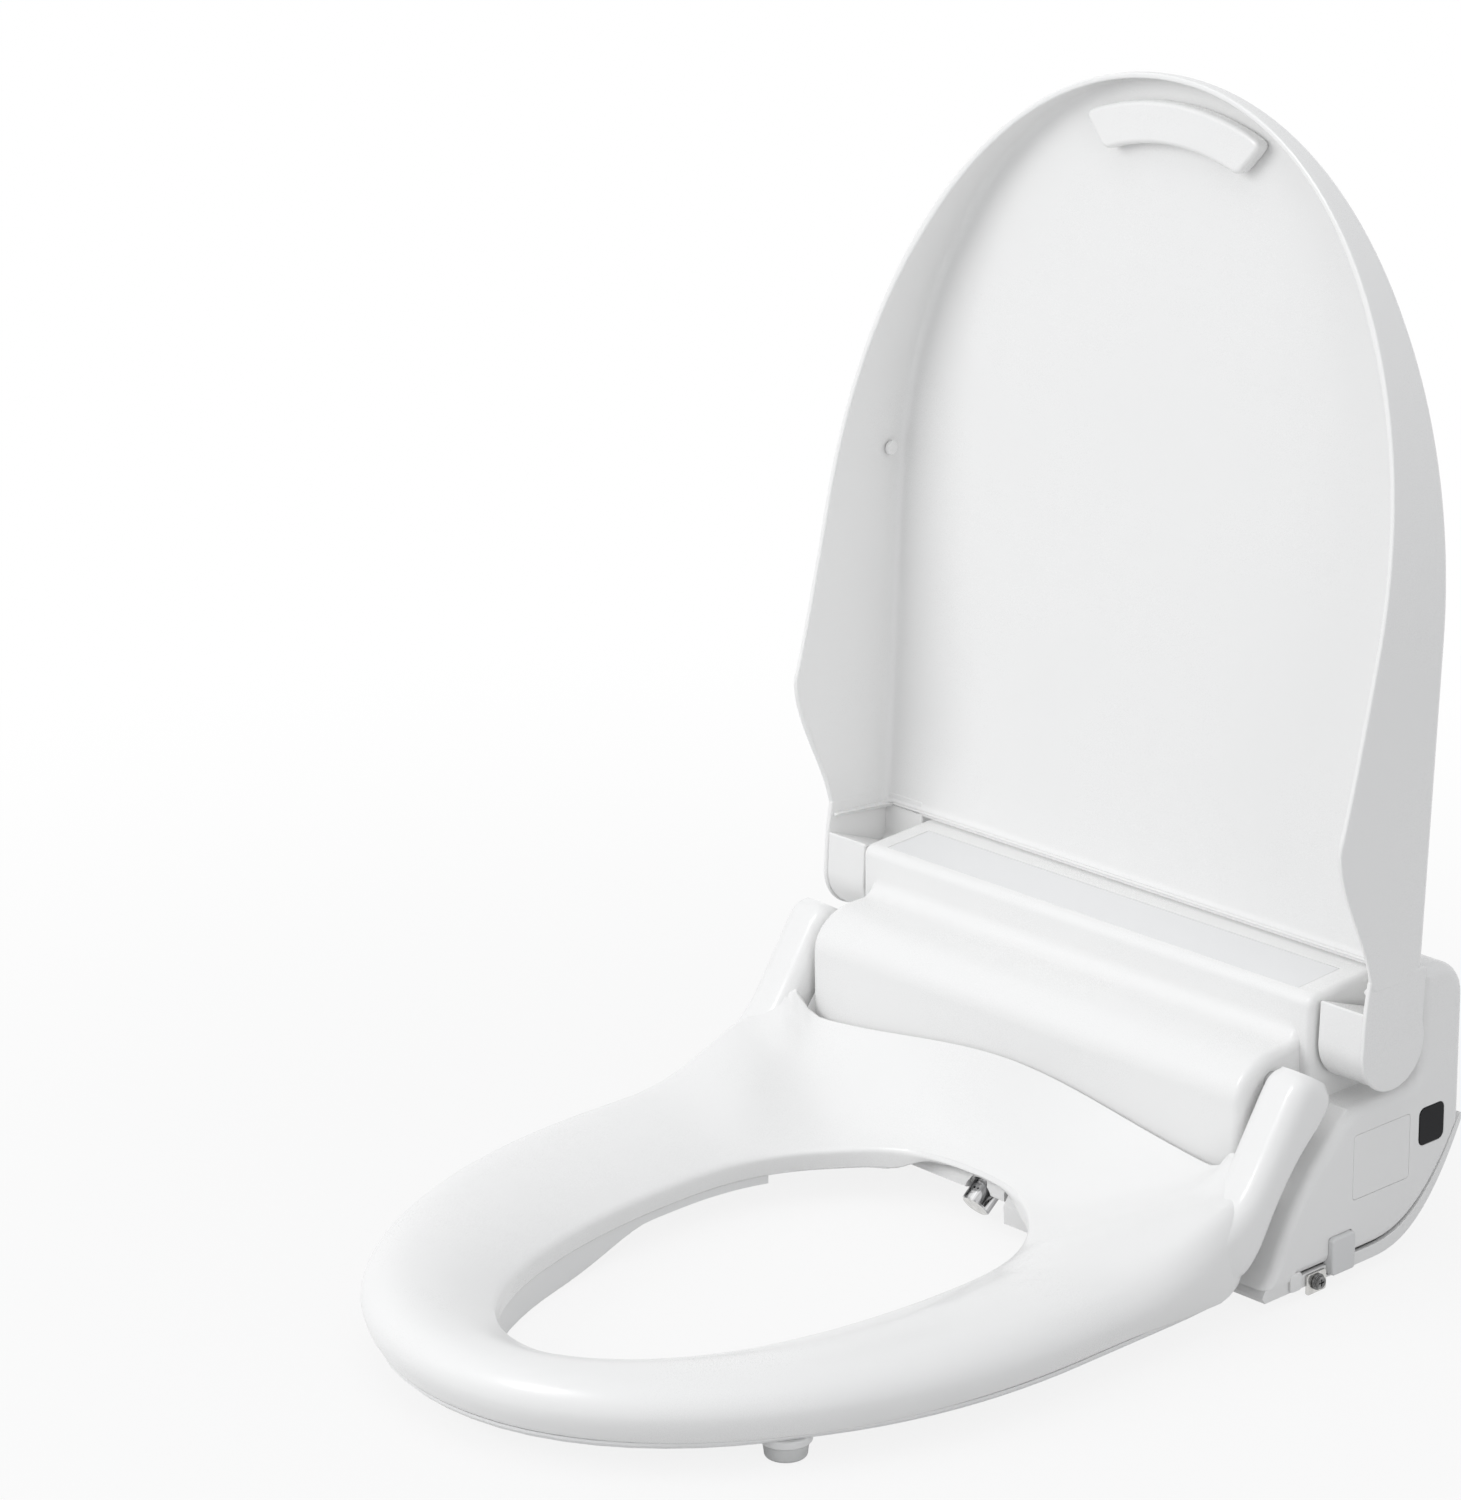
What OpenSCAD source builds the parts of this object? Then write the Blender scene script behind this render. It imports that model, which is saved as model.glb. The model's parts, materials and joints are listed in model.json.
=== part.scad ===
// Electric bidet seat: heated ring seat and lid on a rear housing with a
// retractable wash nozzle, a warm air dryer and a quick release base.
// Frame: +Z up, seat points to -Y, +X is the right hand of someone facing it.
// Origin: midway between the two mounting bolts, on the bowl rim plane.

/* [Seat] */
// Half width of the seat ring
seat_half_w = 181; // [172:1:184]
// Distance from the bolt line to the seat's front edge
seat_front = 466; // [456:1:476]
// Height of the seat's crest along the sides
seat_crest_z = 44; // [42:0.5:48]
// Height of the seat's widest line
seat_edge_z = 29; // [26:0.5:32]
// Height of the joint between the seat shell and its bottom plate
seat_seam_z = 16; // [15:0.5:18]
// Thickness of the seat's bottom plate
seat_plate_t = 4; // [3:0.5:5]
// Half width of the opening
open_half_w = 93; // [86:1:98]
// Distance from the bolt line to the front of the opening
open_front = 409; // [400:1:415]
// Distance from the bolt line to the back of the opening
open_back = 116; // [114:1:124]
// Height of the opening's rim
open_rim_z = 28; // [26:0.5:31]
// Width of one seat arm
arm_w = 28; // [24:1:28]
// How far the splash guard hangs below the seam at the front
guard_drop = 15; // [8:0.5:15.5]
// Wall of the splash guard
guard_t = 2.6; // [2:0.2:4]
// Radius of a seat bumper foot
bumper_r = 11; // [9:0.5:13]

/* [Lid] */
// Half width of the lid over its skirt
lid_half_w = 189; // [188:0.5:193]
// Length of the lid from its hinge axis to the tip
lid_len = 447; // [438:1:456]
// Wall thickness of the lid
lid_t = 3; // [2.4:0.2:4]
// Deepest reach of the skirt in front of the hinge axis
skirt_deep = 50; // [42:1:52]
// Distance of the lid's outer face behind the hinge axis
lid_back = 23; // [20:0.5:24]
// Lean of the open lid
lid_lean = 3.3; // [2:0.1:5]
// Radius of the hinge barrels
barrel_r = 22; // [18:0.5:23]

/* [Hinges] */
// Lid axis, distance behind the bolt line (negative is in front)
lid_axis_y = -14; // [-16:0.5:-12]
// Lid axis height
lid_axis_z = 121; // [119:0.5:122]
// Seat axis, distance behind the bolt line
seat_axis_y = -60; // [-62:0.5:-58]
// Seat axis height
seat_axis_z = 105; // [103:0.5:106]
// Radius of the hinge pins
pin_r = 5; // [4:0.5:6]
// Radial running clearance of pins and shafts
fit_gap = 0.08; // [0.05:0.01:0.1]
// Clearance between neighbouring pieces
gap = 0.3; // [0.2:0.05:0.4]

/* [Housing] */
// Half width of the housing behind the seat arms
house_half_w = 178; // [176:1:180]
// Half width of the block between the lid barrels
block_half_w = 156.5; // [155.5:0.5:157]
// Gap between the seat arms and the front face
arm_gap = 3; // [2:0.5:5]
// Front face, distance behind the bolt line
face_y = -83; // [-84:0.5:-82]
// Back of the housing, distance behind the bolt line
back_y = 52.5; // [50:0.5:56]
// Height of the housing's back edge
top_z = 148.3; // [147:0.1:150]
// Height of the ledge in front of the shoulder
ledge_z = 119.5; // [118:0.5:121]
// Height of the side walls under the lid's ears
side_z = 89; // [86:0.5:92]
// Height of the joint between cover and base
seam_z = 12; // [11:0.5:13]
// Height of the base's underside
base_z = 5; // [4.5:0.1:5.5]
// Wall thickness of cover and base
wall = 3; // [2.6:0.2:3.4]

/* [Wash nozzle] */
// Radius of the nozzle
nozzle_r = 8; // [7:0.5:8.5]
// Downward angle of the nozzle
nozzle_tilt = 38.7; // [36:0.5:41]
// Nozzle tip, distance from the bolt line at rest
nozzle_y = -112; // [-114:0.5:-110]
// Nozzle tip height at rest
nozzle_z = 8; // [6:0.5:9]
// Length of the chrome part of the nozzle
chrome_len = 58; // [50:1:62]
// Length of the whole nozzle
nozzle_len = 186; // [180:1:190]
// Pitch radius of the drive pinion
pinion_r = 7; // [6:0.5:8]
// Number of teeth on the drive pinion
pinion_teeth = 14; // [12:1:18]

/* [Mounting] */
// Distance between the two mounting bolts
bolt_span = 140; // [130:1:160]
// Radius of the bolt holes
bolt_hole_r = 4.3; // [4:0.1:5.5]
// Thickness of the mounting plate
plate_t = 4.4; // [3.6:0.1:4.4]

/* [Hidden] */
white = "#f4f4f2";
shade = "#e6e7e7";
grey = "#c9cbcc";
steel = "#b9bcc0";
dark = "#1c1d20";
green = "#2f6b46";
eps = 0.01;
arm_x0 = seat_half_w - arm_w;
// the front face fits between the arms and inside the lid's barrels
face_half_w = min(arm_x0 - arm_gap, block_half_w - 6.5);

// ---------- shared shape functions ----------
function arc(cy, cz, r, a0, a1, n) =
    [for (i = [0:n]) let (a = a0 + (a1 - a0) * i / n) [cy + r * cos(a), cz + r * sin(a)]];
function mix(a, b, t) = a + (b - a) * t;
function clamp(x, lo, hi) = min(max(x, lo), hi);
function smooth(x) = let (t = clamp(x, 0, 1)) t * t * (3 - 2 * t);
// radius of a squared ellipse with half axes a and b along the ray at angle q
function egg_r(q, a, b, n) =
    pow(pow(abs(cos(q)) / a, n) + pow(abs(sin(q)) / b, n), -1 / n);

// closed skin over rings of equal length; ends filled by fans to end points
module ring_solid(rings, head, tail) {
    n = len(rings[0]);
    m = len(rings);
    points = concat([for (r = rings) each r], [head, tail]);
    polyhedron(points, concat(
        [for (k = [0:m - 2]) for (i = [0:n - 1]) let (j = (i + 1) % n)
            each [[k * n + i, (k + 1) * n + j, k * n + j],
                  [k * n + i, (k + 1) * n + i, (k + 1) * n + j]]],
        [for (i = [0:n - 1]) [m * n, i, (i + 1) % n]],
        [for (i = [0:n - 1]) [m * n + 1, (m - 1) * n + (i + 1) % n, (m - 1) * n + i]]),
        convexity = 8);
}

// closed tube of rings: the last ring joins the first
module loop_solid(rings) {
    n = len(rings[0]);
    m = len(rings);
    polyhedron([for (r = rings) each r],
        [for (k = [0:m - 1]) for (i = [0:n - 1]) let (j = (i + 1) % n, l = (k + 1) % m)
            each [[k * n + i, l * n + j, k * n + j],
                  [k * n + i, l * n + i, l * n + j]]], convexity = 8);
}

// bar of sections with a flat end at each side; an end that isn't convex is
// closed around a middle point (y, z) that every corner can be seen from
module bar_solid(rings, mid = undef) {
    n = len(rings[0]);
    m = len(rings);
    ends = is_undef(mid) ? [] : [for (k = [0, m - 1]) [rings[k][0][0], mid[0], mid[1]]];
    polyhedron([for (r = concat(rings, [ends])) each r], concat(
        [for (k = [0:m - 2]) for (i = [0:n - 1]) let (j = (i + 1) % n)
            each [[k * n + i, k * n + j, (k + 1) * n + j],
                  [k * n + i, (k + 1) * n + j, (k + 1) * n + i]]],
        is_undef(mid) ? [[for (i = [n - 1:-1:0]) i], [for (i = [0:n - 1]) (m - 1) * n + i]]
            : [for (i = [0:n - 1]) let (j = (i + 1) % n)
                each [[j, i, m * n], [(m - 1) * n + i, (m - 1) * n + j, m * n + 1]]]),
        convexity = 8);
}

// side view polygon (y, z) drawn between two x positions
module slab(x0, x1, pts) {
    translate([x0, 0, 0]) rotate([90, 0, 90])
        linear_extrude(height = x1 - x0, convexity = 8) polygon(pts);
}

module box(a, b) { translate(a) cube(b - a); }
module rod_x(x0, x1, r, y = 0, z = 0, f = 48) {
    translate([x0, y, z]) rotate([0, 90, 0]) cylinder(r = r, h = x1 - x0, $fn = f);
}
module both() { children(); mirror([1, 0, 0]) children(); }

// upright plate with rounded corners in the y, z plane
module panel_x(x0, x1, y0, y1, z0, z1, r) {
    slab(x0, x1, concat(arc(y1 - r, z1 - r, r, 0, 90, 6), arc(y0 + r, z1 - r, r, 90, 180, 6),
        arc(y0 + r, z0 + r, r, 180, 270, 6), arc(y1 - r, z0 + r, r, 270, 360, 6)));
}

// ---------- housing profiles ----------
back_run = back_y + 14;
function seam_at(y) = seam_z + 52 * pow(max(y + 14, 0) / back_run, 2.4);
function base_at(y) = base_z + 57 * pow(max(y + 12, 0) / (back_run + 0.5), 2.4);
function seam_curve(d, drop, n = 12) =
    [for (i = [0:n]) let (y = mix(back_y - d, -14, i / n)) [y, seam_at(y) - drop]];
function back_round(d) = arc(back_y - 20, top_z - 20, 20 - d, 90, 0, 8);

// front face, ledge, shoulder, crown and back, moved inwards by d
function block_profile(d, drop) = concat(
    [[face_y + d, seam_z - drop]],
    [for (i = [0:8]) let (a = 180 - 90 * i / 8)
        [face_y + 28 + (28 - d) * cos(a), ledge_z - 21.5 + (21.5 - d) * sin(a)]],
    arc(-48, ledge_z + 9, 9 + d, 270, 360, 6),
    arc(-33, top_z - 9.8, 6 - d, 180, 90, 5),
    [[-3, top_z - 2 - d]], back_round(d), seam_curve(d, drop));

function crown_profile(d) = concat([[-39 + d, side_z - 6]],
    arc(-33, top_z - 9.8, 6 - d, 180, 90, 5), [[-3, top_z - 2 - d]], back_round(d),
    [[back_y - d, side_z - 6]]);

function side_front(d, low, n = 10) = [for (i = [0:n]) let (t = i / n)
    [face_y + 52 * pow(t, 1.8) + d, mix(max(low, seam_z), side_z - d, t)]];
function side_profile(d, drop) = concat([[face_y + d, seam_z - drop - eps]],
    side_front(d, seam_z - drop),
    arc(11, side_z + 10, 10 + d, 270, 360, 6), arc(27, top_z - 6, 6 - d, 180, 90, 5),
    back_round(d), seam_curve(d, drop));

// rounded end of a block: the profile shrinks along a quarter circle
function end_insets(r, n) = [for (i = [0:n]) let (a = 90 * i / n)
    [r * sin(a), r * (1 - cos(a))]];

module on_nozzle() { translate([0, nozzle_y, nozzle_z]) rotate([nozzle_tilt, 0, 0]) children(); }
module rod_y(y0, y1, r, f = 48) {
    translate([0, y1, 0]) rotate([90, 0, 0]) cylinder(r = r, h = y1 - y0, $fn = f);
}

// ---------- base ----------
base_half_w = house_half_w - 1;
module base_tray() {
    color(shade) difference() {
        slab(-base_half_w, base_half_w, concat(
            [[face_y - 8, seam_z - gap], [face_y - 10, base_z + 3], [face_y - 8, base_z]],
            [for (i = [0:12]) let (y = mix(-12, back_y + 1.5, i / 12)) [y, base_at(y)]],
            [for (i = [0:12]) let (y = mix(back_y + 1.5, -14, i / 12))
                [y, seam_at(min(y, back_y)) - gap]]));
        // hollow above the floor
        slab(-base_half_w + wall, base_half_w - wall, concat(
            [[face_y - 5, seam_z + 4], [face_y - 5, base_z + 2.7]],
            [for (i = [0:12]) let (y = mix(-12, back_y - 3, i / 12))
                [y, base_at(y) + 2.7 + 1.6 * max(y + 12, 0) / 60]],
            [[back_y - 3, seam_at(back_y) + 8]]));
        // passage of the release button
        panel_x(base_half_w - wall - 5, base_half_w + 1, button_y0 - gap, button_y1 + gap,
            button_z0 - gap, 40, 1.5);
        // water inlet and cord gland
        translate([inlet_x, inlet_y, -1]) cylinder(r = inlet_r + 3 + gap, h = 60, $fn = 48);
        rod_dir(gland_x, gland_y, gland_z, 7 + gap);
    }
}
inlet_x = -129; inlet_y = 20; inlet_r = 8;
gland_x = 120; gland_y = 30; gland_z = 36;
module rod_dir(x, y, z, r, h0 = -4, h1 = 30) {
    translate([x, y, z]) rotate([-130, 0, 0]) translate([0, 0, h0])
        cylinder(r = r, h = h1 - h0, $fn = 48);
}
button_y0 = -46; button_y1 = -29; button_z0 = 6.5; button_z1 = 26;

// ---------- cover ----------
module capped(half, r, kind) {
    ins = end_insets(r, 4);
    function prof(d) = kind == 0 ? block_profile(d, -d) : kind == 1 ? crown_profile(d)
        : side_profile(d, -d);
    slab(-half + r, half - r, prof(0));
    both() bar_solid([for (e = ins) [for (p = prof(e[1])) [half - r + e[0], p[0], p[1]]]],
        [[-20, 100], [0, 110], [32, 78]][kind]);
}
module rear_cover() {
    color(white) difference() {
        union() {
            capped(face_half_w, 5, 0);
            capped(block_half_w, 4, 1);
            capped(house_half_w, 6, 2);
        }
        slab(-face_half_w + wall + 1, face_half_w - wall - 1, block_profile(wall, 6));
        both() slab(face_half_w - wall - 3, house_half_w - wall, side_profile(wall, 6));
        // pocket of the top strip
        strip_shape(strip_t, gap);
        // holes for the hinge pins
        both() rod_x(face_half_w - 8, face_half_w + 2, pin_r + fit_gap, seat_axis_y, seat_axis_z);
        both() rod_x(face_half_w - 8, block_half_w + 2, pin_r + fit_gap, lid_axis_y, lid_axis_z);
        // sensor window, side panel and release button
        panel_x(house_half_w - wall - 1, house_half_w + 1, window_y0 - 0.15, window_y1 + 0.15,
            window_z0 - 0.15, window_z1 + 0.15, 4);
        panel_x(house_half_w - 1, house_half_w + 1, panel_y0 - 0.2, panel_y1 + 0.2,
            panel_z0 - 0.2, panel_z1 + 0.2, 2.2);
        panel_x(house_half_w - wall - 1, house_half_w + 1, button_y0 - gap, button_y1 + gap,
            0, button_z1 + gap, 1.5);
        // nozzle and dryer pass through the front face
        box([-13, face_y - 1, 0], [13, face_y + wall + 4, 48]);
        box([duct_x0 - gap, face_y - 1, 0], [duct_x1 + gap, face_y + wall + 1, duct_z1 + gap]);
        rod_dir(gland_x, gland_y, gland_z, 7 + gap);
    }
}
strip_t = 1.4;
strip_half_w = 143;
module strip_shape(t, g) {
    slab(-strip_half_w - g, strip_half_w + g, [[-33 - g, top_z - 3.8 + g], [-33 - g, top_z - 3.8 - t],
        [-3 + g, top_z - 2 - t], [-3 + g, top_z - 2 + g]]);
}
module top_strip() {
    color(shade) slab(-strip_half_w, strip_half_w, [[-33, top_z - 3.8], [-33, top_z - 3.8 - strip_t + gap],
        [-3, top_z - 2 - strip_t + gap], [-3, top_z - 2]]);
}
panel_y0 = -29; panel_y1 = 13; panel_z0 = 41; panel_z1 = 75;
module side_panel() {
    color(white) panel_x(house_half_w - 0.8, house_half_w + 0.1, panel_y0, panel_y1, panel_z0,
        panel_z1, 2);
}
window_y0 = 20; window_y1 = 39; window_z0 = 55; window_z1 = 75;
module sensor_window() {
    color(dark) panel_x(house_half_w - wall + 0.4, house_half_w + 0.3, window_y0, window_y1,
        window_z0, window_z1, 3.8);
}
module release_button() {
    color(grey) union() {
        panel_x(house_half_w - 4, house_half_w + 3, button_y0, button_y1, button_z0, button_z1, 2);
        box([house_half_w - 26, button_y0 + 4, 9], [house_half_w - 3.9, button_y1 - 4, 14]);
    }
}
module earth_tab() {
    color(steel) difference() {
        panel_x(base_half_w + gap, base_half_w + gap + 1.5, -62, -48, base_z - 4.4, seam_z - 0.6, 1.5);
        rod_x(house_half_w - 2, house_half_w + 2, 2 + fit_gap, -55, 6.5);
    }
}
module earth_screw() {
    color(steel) difference() {
        union() {
            rod_x(base_half_w + gap, house_half_w + 1.3, 2, -55, 6.5, 24);
            rod_x(house_half_w + 0.9, house_half_w + 2.1, 4.2, -55, 6.5, 32);
            rod_x(house_half_w + 2, house_half_w + 4, 3.1, -55, 6.5, 32);
        }
        translate([house_half_w + 4, -55, 6.5]) for (a = [0, 90]) rotate([a, 0, 0])
            cube([2.4, 0.8, 3.8], center = true);
    }
}
module drain_cap() {
    color(white) panel_x(base_half_w + gap, base_half_w + 1.6, -74, -66, base_z + 0.6, seam_z + 3, 1.8);
}

// ---------- mounting ----------
plate_half_w = 96;
module mounting_plate() {
    color(shade) difference() {
        box([-plate_half_w, -66, base_z - plate_t - 0.3], [plate_half_w, 16, base_z - 0.3]);
        for (s = [-1, 1]) hull() for (y = [-14, 14])
            translate([s * bolt_span / 2, y, -2]) cylinder(r = 8, h = 5, $fn = 32);
        for (s = [-1, 1]) hull() for (y = [-6, 6])
            translate([s * bolt_span / 2, y, -2]) cylinder(r = 6, h = 12, $fn = 32);
    }
}
module mount_sliders() {
    color(grey) for (s = [-1, 1]) translate([s * bolt_span / 2, 0, 0]) difference() {
        translate([-7.4, -7.4, base_z - plate_t - 0.3]) cube([14.8, 14.8, 2.5]);
        translate([0, 0, -2]) cylinder(r = bolt_hole_r, h = 8, $fn = 48);
    }
}

// ---------- nozzle bay under the seat's back edge ----------
bay_half_w = 95;
module nozzle_bay() {
    color(white) difference() {
        union() {
            difference() {
                slab(-bay_half_w, bay_half_w, [[face_y - gap, seam_z + gap], [-100, seam_z + gap],
                    [-108, 14.6], [-110, 16], [-110, 20], [-107, 25], [-104, 27.8], [-95, 37],
                    [face_y - gap, 48.5]]);
                slab(-bay_half_w + 2.4, bay_half_w - 2.4, [[face_y + 1, seam_z - 1], [-99, seam_z - 1],
                    [-105, 17], [-107, 19], [-104.6, 23.6], [-93, 34.6], [face_y + 1, 45]]);
                on_nozzle() rod_y(-6, 60, nozzle_r + 2.4);
                box([duct_x0 - 1.5, -115, 0], [duct_x1 + 1.5, -98, 27]);
            }
            // ears that carry the flap's pins
            for (x = [duct_x0 - 4.5, duct_x1 + 1.5]) box([x, -106, 21], [x + 3, -99, 26]);
        }
        rod_x(duct_x0 - 5, duct_x1 + 5, flap_pin_r + fit_gap, flap_y, flap_z, 32);
    }
}
flap_y = -103.5; flap_z = 24.2; flap_pin_r = 1.4;
module port_ring() {
    color(white) on_nozzle() difference() {
        rod_y(12, 24, nozzle_r + 2.1);
        rod_y(10, 30, nozzle_r + 0.4);
    }
}

// ---------- nozzle drive ----------
tooth_pitch = 2 * PI * pinion_r / pinion_teeth;
rack_y0 = 107; rack_y1 = nozzle_len - 2;
drive_y = 121;
rack_z = nozzle_r + 1.2;
pinion_z = rack_z + tooth_pitch * 0.32 + pinion_r;
module nozzle_chrome() {
    color(steel) on_nozzle() difference() {
        union() {
            rod_y(0.8, chrome_len, nozzle_r);
            translate([0, 0.8 + eps, 0]) rotate([90, 0, 0])
                cylinder(r1 = nozzle_r, r2 = nozzle_r - 0.8, h = 0.8, $fn = 48);
        }
        rod_y(chrome_len - 8, chrome_len + 1, nozzle_r - 2);
        translate([0, 7, nozzle_r - 0.9]) cylinder(r = 3.4, h = 2, $fn = 32);
        for (dx = [-1.2, 1.2]) translate([dx, 7, nozzle_r - 3]) cylinder(r = 0.6, h = 4, $fn = 16);
    }
}
module nozzle_body() {
    color(white) on_nozzle() difference() {
        union() {
            rod_y(chrome_len - 7.7, chrome_len + 0.3, nozzle_r - 2.2);
            rod_y(chrome_len + 0.3 - eps, nozzle_len, nozzle_r);
            box([-3, rack_y0, 4], [3, rack_y1, rack_z]);
            for (y = [rack_y0 : tooth_pitch : rack_y1 - tooth_pitch])
                slab(-3, 3, [[y, rack_z - eps], [y + tooth_pitch * 0.16, rack_z + tooth_pitch * 0.55],
                    [y + tooth_pitch * 0.36, rack_z + tooth_pitch * 0.55],
                    [y + tooth_pitch * 0.52, rack_z - eps]]);
        }
        rod_y(chrome_len - 9, nozzle_len - 6, 2.5, 32);
    }
}
module nozzle_pinion() {
    r1 = pinion_r + tooth_pitch * 0.22;
    r0 = pinion_r - tooth_pitch * 0.3;
    color(shade) on_nozzle() translate([0, drive_y, pinion_z]) difference() {
        translate([-3, 0, 0]) rotate([0, 90, 0]) rotate([0, 0, pinion_phase])
            linear_extrude(height = 6) union() {
                circle(r = r0, $fn = 48);
                for (i = [0:pinion_teeth - 1]) rotate([0, 0, 360 * i / pinion_teeth])
                    polygon([[r0 - 1, -tooth_pitch * 0.2], [r1, -tooth_pitch * 0.09],
                        [r1, tooth_pitch * 0.09], [r0 - 1, tooth_pitch * 0.2]]);
            }
        rod_x(-4, 4, 1.5 + fit_gap, f = 32);
    }
}
// tooth phase that puts a pinion tooth into the rack gap under it
pinion_phase = -(((drive_y - rack_y0) / tooth_pitch) - 0.76) * 360 / pinion_teeth;
module nozzle_guide() {
    color(shade) difference() {
        union() {
            on_nozzle() box([-11, 52, -11], [11, 176, 2]);
            on_nozzle() box([4.5, drive_y - 9, -6], [9.5, drive_y + 9, pinion_z + 9]);
            slab(-9, 9, [[-66, base_z + 3], [-14, base_z + 3], [-14, 60], [-66, 32]]);
        }
        on_nozzle() rod_y(40, 190, nozzle_r + fit_gap);
        on_nozzle() rod_x(4, 12, 1.5 + fit_gap, drive_y, pinion_z, 32);
        on_nozzle() box([-3.6, 40, 0], [3.6, 190, rack_z + 3]);
        box([-20, -90, -5], [20, 60, base_z + 3]);
    }
}
module nozzle_motor() {
    color(steel) on_nozzle() {
        rod_x(9.5 + gap, 28, 11, drive_y, pinion_z);
        rod_x(-3.5, 10, 1.5, drive_y, pinion_z, 32);
    }
}

// ---------- dryer ----------
duct_x0 = 20; duct_x1 = 58; duct_z1 = 31;
fan_x = 84; fan_y = -22; fan_z = 62; fan_r = 22;
module dryer_scroll() {
    color(shade) difference() {
        union() {
            rod_x(fan_x - 15, fan_x + 15, fan_r + 8, fan_y, fan_z, 64);
            box([fan_x - 15, fan_y - 44, fan_z - fan_r - 8], [fan_x + 15, fan_y, fan_z - 8]);
            box([fan_x - 9, fan_y - 5, base_z + 3], [fan_x + 9, fan_y + 5, fan_z - fan_r - 4]);
        }
        rod_x(fan_x - 12.5, fan_x + 16, fan_r + 4, fan_y, fan_z, 64);
        box([fan_x - 12.5, fan_y - 45, fan_z - fan_r - 5.5], [fan_x + 12.5, fan_y - 4, fan_z - 10.5]);
        rod_x(fan_x - 16, fan_x + 16, 6, fan_y, fan_z);
    }
}
module dryer_fan() {
    color(dark) translate([fan_x, fan_y, fan_z]) difference() {
        union() {
            rod_x(-11, -9.5, fan_r);
            rod_x(-11, 4, 5);
            for (i = [0:23]) rotate([15 * i, 0, 0]) translate([-9.6, fan_r - 5, -0.6])
                rotate([24, 0, 0]) cube([18, 4.6, 1.1]);
            difference() { rod_x(7, 8.4, fan_r); rod_x(6, 9, fan_r - 4.5); }
        }
        rod_x(-12, 5, 2 + fit_gap, f = 32);
    }
}
module dryer_motor() {
    color(steel) translate([fan_x, fan_y, fan_z]) {
        rod_x(15 + gap, 42, 17);
        rod_x(-10, 15.5, 2, f = 32);
        rod_x(15 + gap, 17, 27.5);
    }
}
module dryer_duct() {
    color(shade) difference() {
        union() {
        hull() {
            box([fan_x - 15, fan_y - 47, fan_z - fan_r - 8], [fan_x + 15, fan_y - 44.3, fan_z - 8]);
            box([duct_x0, face_y + wall + 0.4, seam_z + 3], [duct_x1, face_y + wall + 3.4, duct_z1]);
        }
        box([duct_x0, face_y + 1, seam_z + 3], [duct_x1, face_y + wall + 0.5, duct_z1]);
        }
        hull() {
            box([fan_x - 12.5, fan_y - 45, fan_z - fan_r - 5.5], [fan_x + 12.5, fan_y - 44, fan_z - 10.5]);
            box([duct_x0 + 2, face_y + wall + 0.3, seam_z + 5], [duct_x1 - 2, face_y + wall + 1, duct_z1 - 2]);
        }
        box([duct_x0 + 2, face_y, seam_z + 5], [duct_x1 - 2, face_y + wall + 0.6, duct_z1 - 2]);
    }
}
module dryer_flap() {
    color(white) {
        rod_x(duct_x0 - 4, duct_x1 + 4, flap_pin_r, flap_y, flap_z, 32);
        rod_x(duct_x0, duct_x1, 1.8, flap_y, flap_z, 32);
        slab(duct_x0, duct_x1, [[flap_y - 1.8, flap_z], [-112, 14.5], [-111.4, 4.6], [-109.8, 4.6],
            [-110.2, 14.2], [flap_y, flap_z - 1]]);
    }
}

// ---------- water path ----------
module water_heater() {
    color(steel) {
        rod_x(-128, -62, 21, -30, base_z + 3 + 21.3, 64);
        for (x = [-118, -78]) box([x, -40, base_z + 3], [x + 8, -20, base_z + 14]);
        translate([-72, -30, 46]) cylinder(r = 4, h = 12, $fn = 32);
        translate([-118, -30, 46]) cylinder(r = 4, h = 12, $fn = 32);
    }
}
module water_inlet() {
    color(shade) translate([inlet_x, inlet_y, 0]) {
        translate([0, 0, 8]) cylinder(r = inlet_r + 3, h = 30, $fn = 48);
        difference() {
            translate([0, 0, 0.8]) cylinder(r = inlet_r, h = 8, $fn = 48);
            translate([0, 0, -1]) cylinder(r = inlet_r - 3, h = 26, $fn = 48);
        }
    }
}
module inlet_valve() {
    color(shade) {
        box([inlet_x - 14, inlet_y - 14, 38 + 0.05], [inlet_x + 14, inlet_y + 14, 60]);
        translate([inlet_x, inlet_y, 60 - eps]) cylinder(r = 9, h = 22, $fn = 40);
        rod_x(inlet_x + 13, inlet_x + 24, 4, inlet_y, 50, 32);
    }
}
module diverter_valve() {
    color(shade) {
        box([-44, -52, base_z + 3], [-20, -24, 34]);
        translate([-32, -38, 34 - eps]) cylinder(r = 10, h = 18, $fn = 40);
        rod_x(-50, -43.9, 3.6, -38, 24, 32);
        rod_x(-20.1, -14.5, 3.6, -38, 24, 32);
    }
}
module tube_path(pts, r, n = 10) {
    dirs = [for (i = [0:len(pts) - 1]) let (a = pts[max(i - 1, 0)], b = pts[min(i + 1, len(pts) - 1)])
        (b - a) / norm(b - a)];
    bar_solid([for (i = [0:len(pts) - 1]) let (d = dirs[i], u = cross(d, [0.31, 0.11, 0.94]),
        un = u / norm(u), w = cross(d, un)) [for (k = [0:n - 1]) let (a = 360 * k / n)
            pts[i] + r * (cos(a) * un + sin(a) * w)]]);
}
function bend(a, b, c, n) = [for (i = [0:n]) let (t = i / n)
    a * (1 - t) * (1 - t) + b * 2 * t * (1 - t) + c * t * t];
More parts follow.
